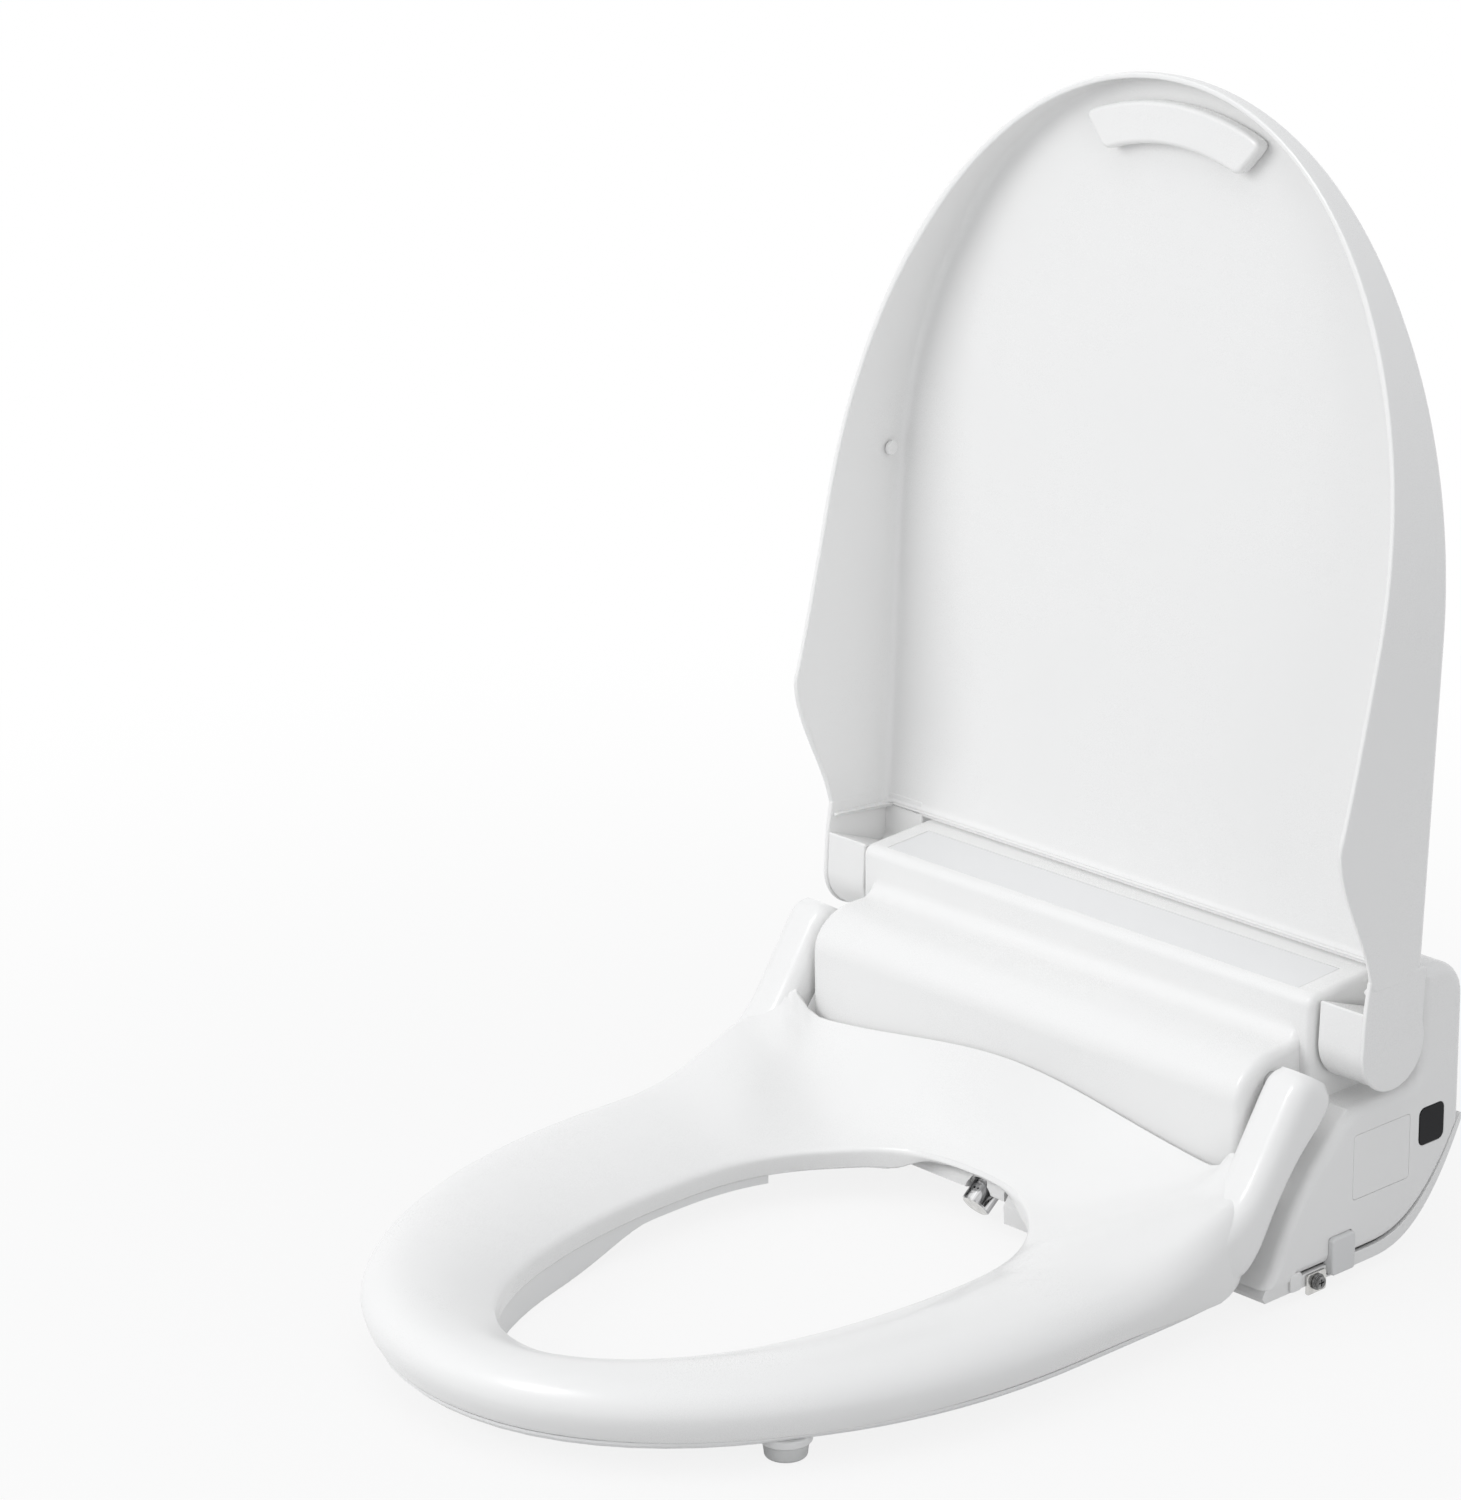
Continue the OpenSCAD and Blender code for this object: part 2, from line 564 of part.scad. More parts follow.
module inlet_hose() {
    color(grey) tube_path(concat([[inlet_x + 24.3, inlet_y, 50]], bend([inlet_x + 26, inlet_y, 50],
        [-88, inlet_y, 50], [-94, 0, 66], 5), bend([-97, -8, 74], [-118, -30, 96], [-118, -30, 60], 6),
        [[-118, -30, 58.3]]), 3.6);
}
module warm_hose() {
    color(grey) tube_path(concat([[-72, -30, 58.3]], bend([-72, -30, 60], [-72, -30, 78], [-64, -50, 62], 5),
        bend([-59, -54, 56], [-57.5, -38, 24], [-53, -38, 24], 6),
        [[-50.3, -38, 24]]), 3.4);
}

// ---------- electronics ----------
module control_board() {
    color(green) {
        box([-70, 38, 62], [66, 39.6, 112]);
        for (x = [-60, -34, 40]) box([x, 28, 78], [x + 18, 38 + eps, 100]);
        for (x = [-8, 8, 24]) translate([x, 38 + eps, 90]) rotate([90, 0, 0])
            cylinder(r = 5, h = 16, $fn = 32);
        for (x = [-66, 58]) box([x, 39.6 - eps, 76], [x + 4, back_y - wall - gap, 82]);
    }
}
module sensor_board() {
    color(green) {
        box([house_half_w - 10, 18, 53], [house_half_w - 8.4, 42, 80]);
        box([house_half_w - 8.4 - eps, 26, 60], [house_half_w - wall + 0.1, 34, 69]);
    }
}
module cord_gland() {
    color(dark) translate([gland_x, gland_y, gland_z]) rotate([-130, 0, 0]) difference() {
        union() {
            cylinder(r = 7, h = 14, $fn = 48);
            cylinder(r = 9.5, h = 4.2, $fn = 48);
            for (i = [0:3]) translate([0, 0, 14 + 3 * i - eps]) cylinder(r = 5.6 - 0.5 * i, h = 2, $fn = 48);
            translate([0, 0, 13]) cylinder(r = 4, h = 12, $fn = 48);
        }
        translate([0, 0, -1]) cylinder(r = 3.3, h = 30, $fn = 32);
    }
}

// ---------- hinge dampers ----------
module damper(x1, y, z) {
    difference() {
        union() {
            rod_x(x1 - 36, x1, 9, y, z);
            box([x1 - 4, y - 12, z - 6], [x1, y + 12, z + 6]);
        }
        rod_x(x1 - 26, x1 + 1, pin_r + fit_gap, y, z);
    }
}
damper_x = face_half_w - wall - 1 - 0.05;
module seat_damper() { color(grey) both() damper(damper_x, seat_axis_y, seat_axis_z); }
module lid_damper() { color(grey) both() damper(damper_x, lid_axis_y, lid_axis_z); }

// ---------- seat ----------
seat_c = -219;
seat_rear = face_y - 1;
seat_n = 96;
function seat_angles() = [for (i = [0:seat_n - 1]) 360 * i / seat_n];
function inner_pt(q, d = 0) = let (b = sin(q) < 0 ? open_front + seat_c : -open_back - seat_c,
    r = egg_r(q, open_half_w, b, sin(q) < 0 ? 2.1 : 2.2) + d) [r * cos(q), seat_c + r * sin(q)];
function outer_pt(q, d = 0) = let (b = sin(q) < 0 ? seat_front + seat_c : seat_rear - seat_c,
    r = egg_r(q, seat_half_w, b, sin(q) < 0 ? 2.06 : 9) - d / max(abs(cos(q)), abs(sin(q))))
    [r * cos(q), seat_c + r * sin(q)];
// how far a point of the outline belongs to the raised back
function rise(p) = smooth((p[1] + 190) / 106);
function back_z(x) = 80 - 15 * smooth(abs(x) / 125);
function crest_at(p) = mix(seat_crest_z, back_z(p[0]), pow(rise(p), 1.25));
// underside behind the opening: steep over the nozzle, later at the arms
function under_at(p) = seat_seam_z + mix(
    8.5 * smooth((p[1] + 124) / 10) + 29.5 * clamp((p[1] + 113) / 29, 0, 1),
    5 * smooth((p[1] + 122) / 18) + 33 * pow(clamp((p[1] + 108) / 24, 0, 1), 1.2),
    smooth((abs(p[0]) - 110) / 40));
function seat_section(q) = let (i = inner_pt(q), o = outer_pt(q), z = crest_at(o), r = rise(o),
    k = r * smooth((sin(q) - 0.3) / 0.55), e = mix(seat_edge_z, z - 7, r),
    crown = mix(0.72, 0.95, r), w = norm(o - i))
    concat([[3 / w, under_at(inner_pt(q, 3))],
        [0.6 / w, mix(under_at(inner_pt(q, 3)), open_rim_z - 2.5, 0.6)], [0, open_rim_z - 2.5],
        [1.2 / w, open_rim_z - 0.4]],
        [for (s = [0.18, 0.42, 0.68, 0.88, 1]) [s * crown,
            open_rim_z + (z - open_rim_z) * mix(sin(90 * s), pow(s, 1.5), k)]],
        [for (a = [28, 52, 74, 90]) [crown + (1 - crown) * sin(a), e + (z - e) * cos(a)]],
        [[1 - mix(6, 0.6, r) / w, under_at(o)]]);
module seat_ring() {
    loop_solid([for (q = seat_angles()) let (i = inner_pt(q), o = outer_pt(q))
        [for (s = seat_section(q)) [mix(i[0], o[0], s[0]), mix(i[1], o[1], s[0]), s[1]]]]);
}
// front and rear edge of the arm in side view, from foot to hinge, and how
// far the outer side is drawn in where the arm grows out of the ring
arm_path = [[[-172, 36], [-130, 20], 12], [[-150, 45], [-114, 22], 5], [[-130, 51], [-106, 24], 1.2],
    [[-113, 59], [-98, 35], 0], [[-102.5, 68], [-89, 52], 0], [[-94, 79], [-79, 67], 0],
    [[-86, 91], [-69, 79], 0], [[-78, 103], [-58, 89], 0], [[-72.5, 111], [-51.5, 95], 0],
    [[-67, 115.5], [-49.2, 100], 0.6], [[-63, 117], [-49.4, 106], 2.4]];
function arm_section(k, r) = let (f = arm_path[k][0], b = arm_path[k][1], l = norm(f - b),
    u = (f - b) / l, rr = min(r, l / 2 - 0.5), e = arm_path[k][2])
    [for (c = [[1, 1, 0], [0, 1, 90], [0, 0, 180], [1, 0, 270]]) for (a = [0, 30, 60, 90])
        let (x = mix(arm_x0 + rr + min(e, 2.4), seat_half_w - rr - e, c[0]) + rr * cos(c[2] + a),
        t = mix(rr, l - rr, c[1]) + rr * sin(c[2] + a)) [x, b[0] + u[0] * t, b[1] + u[1] * t]];
module seat_arm() { bar_solid([for (k = [0:len(arm_path) - 1]) arm_section(k, 7)]); }
module seat_shell() {
    color(white) difference() {
        union() {
            seat_ring();
            both() seat_arm();
        }
        // pocket of the heater
        translate([0, 0, seat_seam_z - 1]) linear_extrude(height = 1 + 1.4) heater_shape(0.3);
        both() rod_x(arm_x0 - 1, seat_half_w - 6, pin_r, seat_axis_y, seat_axis_z);
    }
}
module heater_shape(g) {
    difference() {
        polygon([for (q = seat_angles()) if (q % 7.5 == 0) let (p = outer_pt(q, 24 - g)) [p[0], min(p[1], -136 + g)]]);
        polygon([for (q = seat_angles()) if (q % 7.5 == 0) inner_pt(q, 16 - g)]);
    }
}
module seat_heater() {
    color("#d9a441") translate([0, 0, seat_seam_z + 0.05]) linear_extrude(height = 1) heater_shape(0);
}
// the plate is open at the back; a splash guard hangs inside its front
plate_q = 28;
function plate_section(q) = let (o = outer_pt(q, 6), u = outer_pt(q, 8.5),
    g = smooth((-sin(q) - 0.28) / 0.5), low = seat_seam_z - seat_plate_t,
    in0 = inner_pt(q, 3), in1 = inner_pt(q, 3 + guard_t), hang = low - 0.4 - (guard_drop - 4) * g)
    [[o[0], o[1], seat_seam_z - 0.05], [o[0], o[1], seat_seam_z - 1.5], [u[0], u[1], low],
    [in1[0], in1[1], low], [in1[0], in1[1], hang], [in0[0], in0[1], hang],
    [in0[0], in0[1], seat_seam_z - 0.05]];
module seat_plate() {
    color(shade) bar_solid([for (i = [0:60]) plate_section(mix(plate_q, -180 - plate_q, i / 60))]);
}
bumpers = [[126, -362], [124, -180], [-126, -362], [-124, -180]];
module bumper_collars() {
    color(white) for (b = bumpers) translate([b[0], b[1], 0]) difference() {
        translate([0, 0, 8]) cylinder(r = bumper_r + 1.5, h = seat_seam_z - seat_plate_t - 8, $fn = 48);
        translate([0, 0, 7]) cylinder(r = bumper_r - 4, h = 8, $fn = 48);
    }
}
module bumper_feet() {
    color(shade) for (b = bumpers) translate([b[0], b[1], 0]) {
        cylinder(r1 = bumper_r - 1, r2 = bumper_r, h = 7.95, $fn = 48);
        translate([0, 0, 7.9]) cylinder(r = bumper_r - 4.2, h = 3, $fn = 48);
    }
}
module seat_pins() {
    color(steel) both() rod_x(damper_x - 25, seat_half_w - 6.1, pin_r, seat_axis_y, seat_axis_z);
}

// ---------- lid, drawn open ----------
lid_c = 200;
lid_root = 28;
module on_lid() {
    translate([0, lid_axis_y, lid_axis_z]) rotate([-lid_lean, 0, 0]) children();
}
// lid frame: x, then w forward of the axis as -y, then v along the lid as z
function root_q(f) = atan2(lid_root - lid_c, lid_half_w * f);
function side_q(f) = atan2((lid_root - lid_c) * f, lid_half_w);
function lid_angles() = concat([for (i = [0:35]) 180 * i / 36],
    [for (i = [0:13]) 180 - side_q(i / 14)],
    [for (x = [1, 0.983, 0.965, 0.75, 0.5, 0.25]) 180 - root_q(x)],
    [for (x = [0, 0.25, 0.5, 0.75, 0.965, 0.983]) 360 + root_q(x)],
    [for (i = [13:-1:1]) 360 + side_q(i / 14)]);
function lid_pt(q, d = 0) = let (s = sin(q), c = abs(cos(q)), b = lid_len - lid_c,
    r = s >= 0 ? egg_r(q, lid_half_w, b, 2.05)
        : min(lid_half_w / max(c, eps), (lid_c - lid_root) / abs(s)),
    k = r - d / max(c, abs(s))) [k * cos(q), lid_c + k * sin(q)];
// reach of the free edge in front of the axis along the lid
function edge_w(v) = mix(19,
    mix(skirt_deep, 16 - lid_back, pow(clamp((v - 108) / (lid_len - 108), 0, 1), 0.86)),
    smooth((v - 24) / 86));
function edge_at(q) = let (p = lid_pt(q)) sin(q) < 0 && p[1] < lid_root + 2 && abs(p[0]) < lid_half_w * 0.97
    ? -lid_back + 6.5 : edge_w(p[1]);
// depth t over the outer face, kept under the low lip along the root
function lip(t, h) = h > 12 || t < 4.4 ? t : mix(4.4, h - 1.2, (t - 4.4) / 5.6);
function lid_ring(d, w, free = 0) = [for (q = lid_angles()) let (p = lid_pt(q, d))
    [p[0], -(free == 1 ? edge_at(q) - w : lip(w + lid_back, edge_at(q) + lid_back) - lid_back), p[1]]];
function lid_disc(f, w) = [for (q = lid_angles()) let (p = lid_pt(q, 14))
    [p[0] * f, -w, lid_c + (p[1] - lid_c) * f]];
module lid_shell() {
    b = -lid_back;
    color(white) on_lid() difference() {
        union() {
            ring_solid([lid_disc(0.35, b), lid_disc(0.75, b), lid_ring(12, b + 0.1),
                lid_ring(6.5, b + 1.6), lid_ring(2.4, b + 4.6), lid_ring(0.4, b + 9),
                lid_ring(0, 0.9, 1), lid_ring(0.9, 0, 1), lid_ring(2.1, 0, 1), lid_ring(lid_t, 0.9, 1),
                lid_ring(lid_t + 0.3, b + 8), lid_ring(lid_t + 1.2, b + 5),
                lid_ring(lid_t + 3, b + lid_t + 0.5), lid_ring(lid_t + 6, b + lid_t),
                lid_disc(0.75, b + lid_t), lid_disc(0.35, b + lid_t)],
                [0, lid_back, lid_c], [0, lid_back - lid_t, lid_c]);
            both() lid_ear();
        }
        both() rod_x(block_half_w, lid_half_w - 6, pin_r);
    }
}
module lid_ear() {
    // cheek plate around the hinge, then the barrel that rises to the panel
    slab(lid_half_w - 5.4, lid_half_w - 0.4, concat([[-19.6, lid_root + 9], [lid_back - 2, lid_root + 9]],
        arc(0, 0, barrel_r + 0.8, 23, -150, 24), [[-20, 8]]));
    slab(block_half_w + 2.2, lid_half_w - 5, concat(arc(0, 0, barrel_r, 180, 360, 30),
        [[lid_back - 1.2, lid_root + 8], [lid_back - lid_t - 0.4, lid_root + 8],
        [lid_back - lid_t - 0.4, 0], [lid_back - lid_t - 3, -1], [-barrel_r + 3, 10.6],
        [-barrel_r + 1, 10.2], [-barrel_r, 9]]));
}
// arched cushion bar inside the tip
pad_t = 9;
module lid_pad() {
    color(white) on_lid() translate([0, lid_back - lid_t - 0.05, lid_len]) rotate([90, 0, 0])
        linear_extrude(height = pad_t) polygon(concat(arc(0, -155.2, 120, 68.5, 111.5, 16),
            [[-58.5, -28], [-57.5, -25]], arc(0, -164, 150, 111.5, 68.5, 16),
            [[57.5, -25], [58.5, -28]]));
}
nub_v = 226;
module lid_nubs() {
    color(white) on_lid() both() translate([lid_pt(8)[0] - lid_t - 1, 10, nub_v]) rotate([0, 86, 0])
        translate([0, 0, -2.4]) cylinder(r = 4, h = 2.4, $fn = 32);
}
module lid_pins() {
    color(steel) on_lid() both() rod_x(damper_x - 25, lid_half_w - 6.1, pin_r);
}

base_tray();
rear_cover();
top_strip();
side_panel();
sensor_window();
release_button();
earth_tab();
earth_screw();
drain_cap();
mounting_plate();
mount_sliders();
nozzle_bay();
port_ring();
nozzle_guide();
nozzle_chrome();
nozzle_body();
nozzle_pinion();
nozzle_motor();
dryer_scroll();
dryer_fan();
dryer_motor();
dryer_duct();
dryer_flap();
water_heater();
water_inlet();
inlet_valve();
diverter_valve();
inlet_hose();
warm_hose();
control_board();
sensor_board();
cord_gland();
seat_damper();
lid_damper();
seat_shell();
seat_plate();
seat_heater();
bumper_collars();
bumper_feet();
seat_pins();
lid_shell();
lid_pad();
lid_nubs();
lid_pins();
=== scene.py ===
import json
import math

import bmesh
import bpy
from mathutils import Matrix, Vector


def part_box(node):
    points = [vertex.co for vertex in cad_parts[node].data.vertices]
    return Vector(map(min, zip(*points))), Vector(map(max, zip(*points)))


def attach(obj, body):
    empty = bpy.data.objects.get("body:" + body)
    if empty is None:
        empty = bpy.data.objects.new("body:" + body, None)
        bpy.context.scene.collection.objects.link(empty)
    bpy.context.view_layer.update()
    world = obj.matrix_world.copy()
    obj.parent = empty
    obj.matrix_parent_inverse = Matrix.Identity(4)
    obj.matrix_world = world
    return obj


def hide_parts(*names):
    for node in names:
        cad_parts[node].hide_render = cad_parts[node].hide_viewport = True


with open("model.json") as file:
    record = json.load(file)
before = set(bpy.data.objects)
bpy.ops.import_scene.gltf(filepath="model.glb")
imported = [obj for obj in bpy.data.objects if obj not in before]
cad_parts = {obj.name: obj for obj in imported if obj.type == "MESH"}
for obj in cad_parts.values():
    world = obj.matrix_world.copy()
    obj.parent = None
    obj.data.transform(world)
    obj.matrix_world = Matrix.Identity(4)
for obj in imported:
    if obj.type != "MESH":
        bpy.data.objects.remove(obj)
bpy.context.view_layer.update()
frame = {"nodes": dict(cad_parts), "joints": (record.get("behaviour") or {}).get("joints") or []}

# ---------- Camera ----------
# A long lens looks down on the seat's open side from the front right, at the
# height of someone standing in front of the bowl.
scene = bpy.context.scene
scene.view_settings.view_transform = "Standard"
azimuth, elevation, roll = math.radians(46.3), math.radians(18.8), math.radians(-0.3)
looked_at, distance = Vector((0, -0.2101, 0.2618)), 2.483
back = Vector((math.sin(azimuth) * math.cos(elevation), -math.cos(azimuth) * math.cos(elevation),
               math.sin(elevation)))
level = Vector((math.cos(azimuth), math.sin(azimuth), 0))
upward = back.cross(level)
across = level * math.cos(roll) + upward * math.sin(roll)
upright = upward * math.cos(roll) - level * math.sin(roll)
lens = bpy.data.cameras.new("studio_lens")
lens.sensor_width = 36
lens.lens = 124.9152
lens.shift_x, lens.shift_y = -0.0678, 0.016467
lens.clip_end = 60
camera = bpy.data.objects.new("studio_camera", lens)
camera.matrix_world = Matrix.Translation(looked_at + back * distance) @ Matrix(
    (across, upright, back)).transposed().to_4x4()
scene.collection.objects.link(camera)
scene.camera = camera

# ---------- Studio ----------
# A pale sweep of floor under large soft lamps. The floor and the sky glow a
# little for the lens and for gloss, and still take the object's shadow.
def shader_tree(owner):
    owner.use_nodes = True
    owner.node_tree.nodes.clear()
    return owner.node_tree


def shader(tree, kind, inputs=(), **settings):
    """A new node; each of its inputs is given a value, or the output that feeds it."""
    node = tree.nodes.new("ShaderNode" + kind)
    for name, value in settings.items():
        setattr(node, name, value)
    for name, value in dict(inputs).items():
        if isinstance(value, bpy.types.NodeSocket):
            tree.links.new(value, node.inputs[name])
        else:
            node.inputs[name].default_value = value
    return node


def spread(tree, value, low, high, start=0.0, end=1.0, **settings):
    """Brings a value that runs from start to end into the range from low to high."""
    run = {"Value": value, "From Min": start, "From Max": end, "To Min": low, "To Max": high}
    return shader(tree, "MapRange", run, **settings).outputs["Result"]


def object_place(tree):
    return shader(tree, "TexCoord").outputs["Object"]


def seen_directly(tree):
    """1 for what the lens, a polished face or a clear one sees."""
    path = shader(tree, "LightPath")
    value = path.outputs["Is Camera Ray"]
    for ray in ("Is Glossy Ray", "Is Transmission Ray"):
        value = shader(tree, "Math", {0: value, 1: path.outputs[ray]}, operation="MAXIMUM").outputs[0]
    return value


sky = bpy.data.worlds.new("studio_sky")
scene.world = sky
tree = shader_tree(sky)
lit = shader(tree, "Background", {"Color": (0.97, 0.98, 1.0, 1), "Strength": 0.57})
shown = shader(tree, "Background", {"Color": (1, 1, 1, 1), "Strength": 1.0})
pick = shader(tree, "MixShader", {0: seen_directly(tree), 1: lit.outputs[0], 2: shown.outputs[0]})
shader(tree, "OutputWorld", {0: pick.outputs[0]})

paper = bpy.data.materials.new("studio_paper")
tree = shader_tree(paper)
place = object_place(tree)
fibre = shader(tree, "TexNoise", {"Vector": place, "Scale": 220})
matt = shader(tree, "BsdfDiffuse", {"Color": spread(tree, fibre.outputs[0], 0.62, 0.66)})
reach = shader(tree, "VectorMath", {0: place, 1: (0, -0.2, 0)}, operation="DISTANCE")
fade = spread(tree, reach.outputs["Value"], 0.86, 1.0, 0.2, 1.1, interpolation_type="SMOOTHSTEP")
share = shader(tree, "Math", {0: seen_directly(tree), 1: fade}, operation="MULTIPLY")
glow = shader(tree, "Emission")
pick = shader(tree, "MixShader", {0: share.outputs[0], 1: matt.outputs[0], 2: glow.outputs[0]})
shader(tree, "OutputMaterial", {0: pick.outputs[0]})

sheet = bmesh.new()
bmesh.ops.create_grid(sheet, x_segments=1, y_segments=1, size=7)
bmesh.ops.translate(sheet, vec=(0, 0, -0.0004), verts=sheet.verts)
sweep = bpy.data.meshes.new("studio_floor")
sheet.to_mesh(sweep)
sheet.free()
floor = bpy.data.objects.new("studio_floor", sweep)
floor.data.materials.append(paper)
scene.collection.objects.link(floor)


def softbox(name, place, aim, size, power, glint=False):
    """A soft box gives light and no mirror image of itself; a glint strip the other way round."""
    lamp = bpy.data.lights.new(name, "AREA")
    lamp.shape = "RECTANGLE"
    lamp.size, lamp.size_y = size
    lamp.energy = power
    stand = bpy.data.objects.new(name, lamp)
    away = (Vector(place) - Vector(aim)).normalized()
    stand.matrix_world = Matrix.Translation(place) @ away.to_track_quat("Z", "Y").to_matrix().to_4x4()
    stand.visible_glossy = glint
    stand.visible_diffuse = not glint
    scene.collection.objects.link(stand)


softbox("key_softbox", (-1.3, -2.4, 1.5), (0, -0.2, 0.25), (1.9, 1.6), 35.5)
softbox("top_softbox", (0.1, -0.5, 2.3), (0, -0.2, 0.1), (2.0, 1.6), 10)
softbox("side_softbox", (2.3, -0.9, 1.0), (0, -0.2, 0.15), (0.9, 1.4), 7.5)
softbox("glint_strip", (-0.5, -1.9, 2.3), (0, -0.1, 0.1), (0.14, 1.0), 22, glint=True)

# ---------- Polished white plastic ----------
# Seat, lid and cover are moulded in white resin with a polished surface: nearly
# even in tone, with a faint flow of gloss and a skin that is never quite flat.
def moulded_surface():
    """Slow changes of tone and gloss, and the fine relief of a moulded skin, as masks and a height."""
    group = bpy.data.node_groups.new("moulded_surface", "ShaderNodeTree")
    face = group.interface
    face.new_socket("Place", in_out="INPUT", socket_type="NodeSocketVector")
    for name, value in (("Patches", 9.0), ("Ripple", 160.0), ("Grain", 2600.0)):
        face.new_socket(name, in_out="INPUT", socket_type="NodeSocketFloat").default_value = value
    for name in ("Tone", "Gloss", "Height"):
        face.new_socket(name, in_out="OUTPUT", socket_type="NodeSocketFloat")
    asked, given = group.nodes.new("NodeGroupInput"), group.nodes.new("NodeGroupOutput")

    def noise(scale, detail, rough=0.5):
        return shader(group, "TexNoise", {"Vector": asked.outputs["Place"], "Scale": asked.outputs[scale],
                                          "Detail": detail, "Roughness": rough}).outputs[0]

    patches, ripple, grain = noise("Patches", 3), noise("Ripple", 2), noise("Grain", 2, 0.7)
    gloss = shader(group, "Mix", {"Factor": 0.45, "A": patches, "B": grain})
    relief = shader(group, "Mix", {"Factor": 0.35, "A": ripple, "B": grain})
    group.links.new(patches, given.inputs["Tone"])
    group.links.new(gloss.outputs["Result"], given.inputs["Gloss"])
    group.links.new(relief.outputs["Result"], given.inputs["Height"])
    return group


moulded = moulded_surface()


def surfaced(tree, tone, colours, roughness, height, bump, depth, **body):
    """Closes a material: tone picks between its two colours, and height raises its relief."""
    shades = shader(tree, "Mix", {"Factor": tone, "A": (*colours[0], 1), "B": (*colours[1], 1)},
                    data_type="RGBA")
    relief = shader(tree, "Bump", {"Height": height, "Strength": bump, "Distance": depth})
    surface = shader(tree, "BsdfPrincipled", {
        "Base Color": shades.outputs["Result"], "Roughness": roughness, "Normal": relief.outputs["Normal"]})
    for name, value in body.items():
        surface.inputs[name.replace("_", " ")].default_value = value
    shader(tree, "OutputMaterial", {0: surface.outputs[0]})


def moulded_plastic(name, colour, deeper, gloss, bump, coat=0.0, patches=9.0, ripple=160.0,
                    grain=2600.0, ior=1.5):
    """A finish whose colour runs from colour to deeper and its roughness over gloss, both slowly."""
    material = bpy.data.materials.new(name)
    tree = shader_tree(material)
    skin = shader(tree, "Group", {"Place": object_place(tree), "Patches": patches, "Ripple": ripple,
                                  "Grain": grain}, node_tree=moulded)
    roughness = spread(tree, skin.outputs["Gloss"], *gloss, 0.3, 0.7)
    surfaced(tree, skin.outputs["Tone"], (colour, deeper), roughness, skin.outputs["Height"], bump, 0.0002,
             IOR=ior, Coat_Weight=coat, Coat_Roughness=0.06)
    return material


polished_white = moulded_plastic("polished_white", (0.86, 0.86, 0.855), (0.84, 0.84, 0.835),
                                 (0.24, 0.33), 0.05, coat=0.2)
satin_white = moulded_plastic("satin_white", (0.84, 0.842, 0.84), (0.81, 0.812, 0.81),
                              (0.34, 0.48), 0.16, grain=1800)

# ---------- Seat ----------
# One hollow moulding: a ring that dips to a thin rim round the opening and
# climbs at the back, and two arms that carry it up to the hinge.
mm = 0.001
mirrored = Matrix.Scale(-1, 4, (1, 0, 0))


def in_mm(metres):
    return round(metres / mm, 2)


def mix(a, b, t):
    return a + (b - a) * t


def passed(x, start=0.0, end=1.0):
    """How much of the way from start to end lies behind x, from 0 to 1."""
    return min(max((x - start) / (end - start), 0.0), 1.0)


def smooth(x, start=0.0, end=1.0):
    t = passed(x, start, end)
    return t * t * (3 - 2 * t)


def between(values, t):
    """A smooth run through values, one for each whole t."""
    i = min(int(t), len(values) - 2)
    t -= i
    a, b = values[max(i - 1, 0)], values[i]
    c, d = values[i + 1], values[min(i + 2, len(values) - 1)]
    return 0.5 * (2 * b + (c - a) * t + (2 * a - 5 * b + 4 * c - d) * t * t
                  + (3 * b - a - 3 * c + d) * t ** 3)


def swept_skin(points, steps, place, ring=True, loop=True):
    """Spins a string of points into a skin of that many steps, then puts each of its points in place."""
    bm = bmesh.new()
    string = [bm.verts.new((1 + i / points, 0, 0)) for i in range(points)]
    edges = [bm.edges.new(pair) for pair in zip(string, string[1:])]
    if ring:
        edges.append(bm.edges.new((string[-1], string[0])))
    # an open skin stops short of a full turn, so that its two ends stay apart
    turns = steps if loop else steps - 1
    stops = steps if loop else steps + 1
    bmesh.ops.spin(bm, geom=string + edges, cent=(0, 0, 0), axis=(0, 0, 1), dvec=(0, 0, 0),
                   angle=math.tau * turns / stops, steps=turns, use_merge=loop, use_duplicate=False)
    for v in bm.verts:
        i = round((v.co.xy.length - 1) * points)
        k = round(math.atan2(v.co.y, v.co.x) % math.tau / math.tau * stops) % stops
        v.co = place(i, k)
    if not (ring and loop):
        bmesh.ops.holes_fill(bm, edges=[e for e in bm.edges if e.is_boundary], sides=0)
    bmesh.ops.recalc_face_normals(bm, faces=bm.faces)
    return bm


def added(target, part, *moves):
    """Puts a part into another mesh once for each move, and turns it right way out."""
    for move in moves:
        lone = bpy.data.meshes.new("part")
        copy = part.copy()
        copy.transform(move)
        bmesh.ops.recalc_face_normals(copy, faces=copy.faces)
        copy.to_mesh(lone)
        copy.free()
        target.from_mesh(lone)
        bpy.data.meshes.remove(lone)
    part.free()


def finished(bm, name, body, material, crease=34, outwards=False):
    """The mesh becomes a smooth piece that keeps its crisp edges."""
    bmesh.ops.remove_doubles(bm, verts=bm.verts, dist=2e-6)
    if outwards:
        bmesh.ops.recalc_face_normals(bm, faces=bm.faces)
    for f in bm.faces:
        f.smooth = True
    mesh = bpy.data.meshes.new(name)
    bm.to_mesh(mesh)
    bm.free()
    mesh.set_sharp_from_angle(angle=math.radians(crease))
    mesh.materials.append(material)
    piece = bpy.data.objects.new(name, mesh)
    scene.collection.objects.link(piece)
    weigh = piece.modifiers.new("even_shading", "WEIGHTED_NORMAL")
    weigh.keep_sharp = True
    weigh.weight = 80
    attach(piece, body)
    return piece


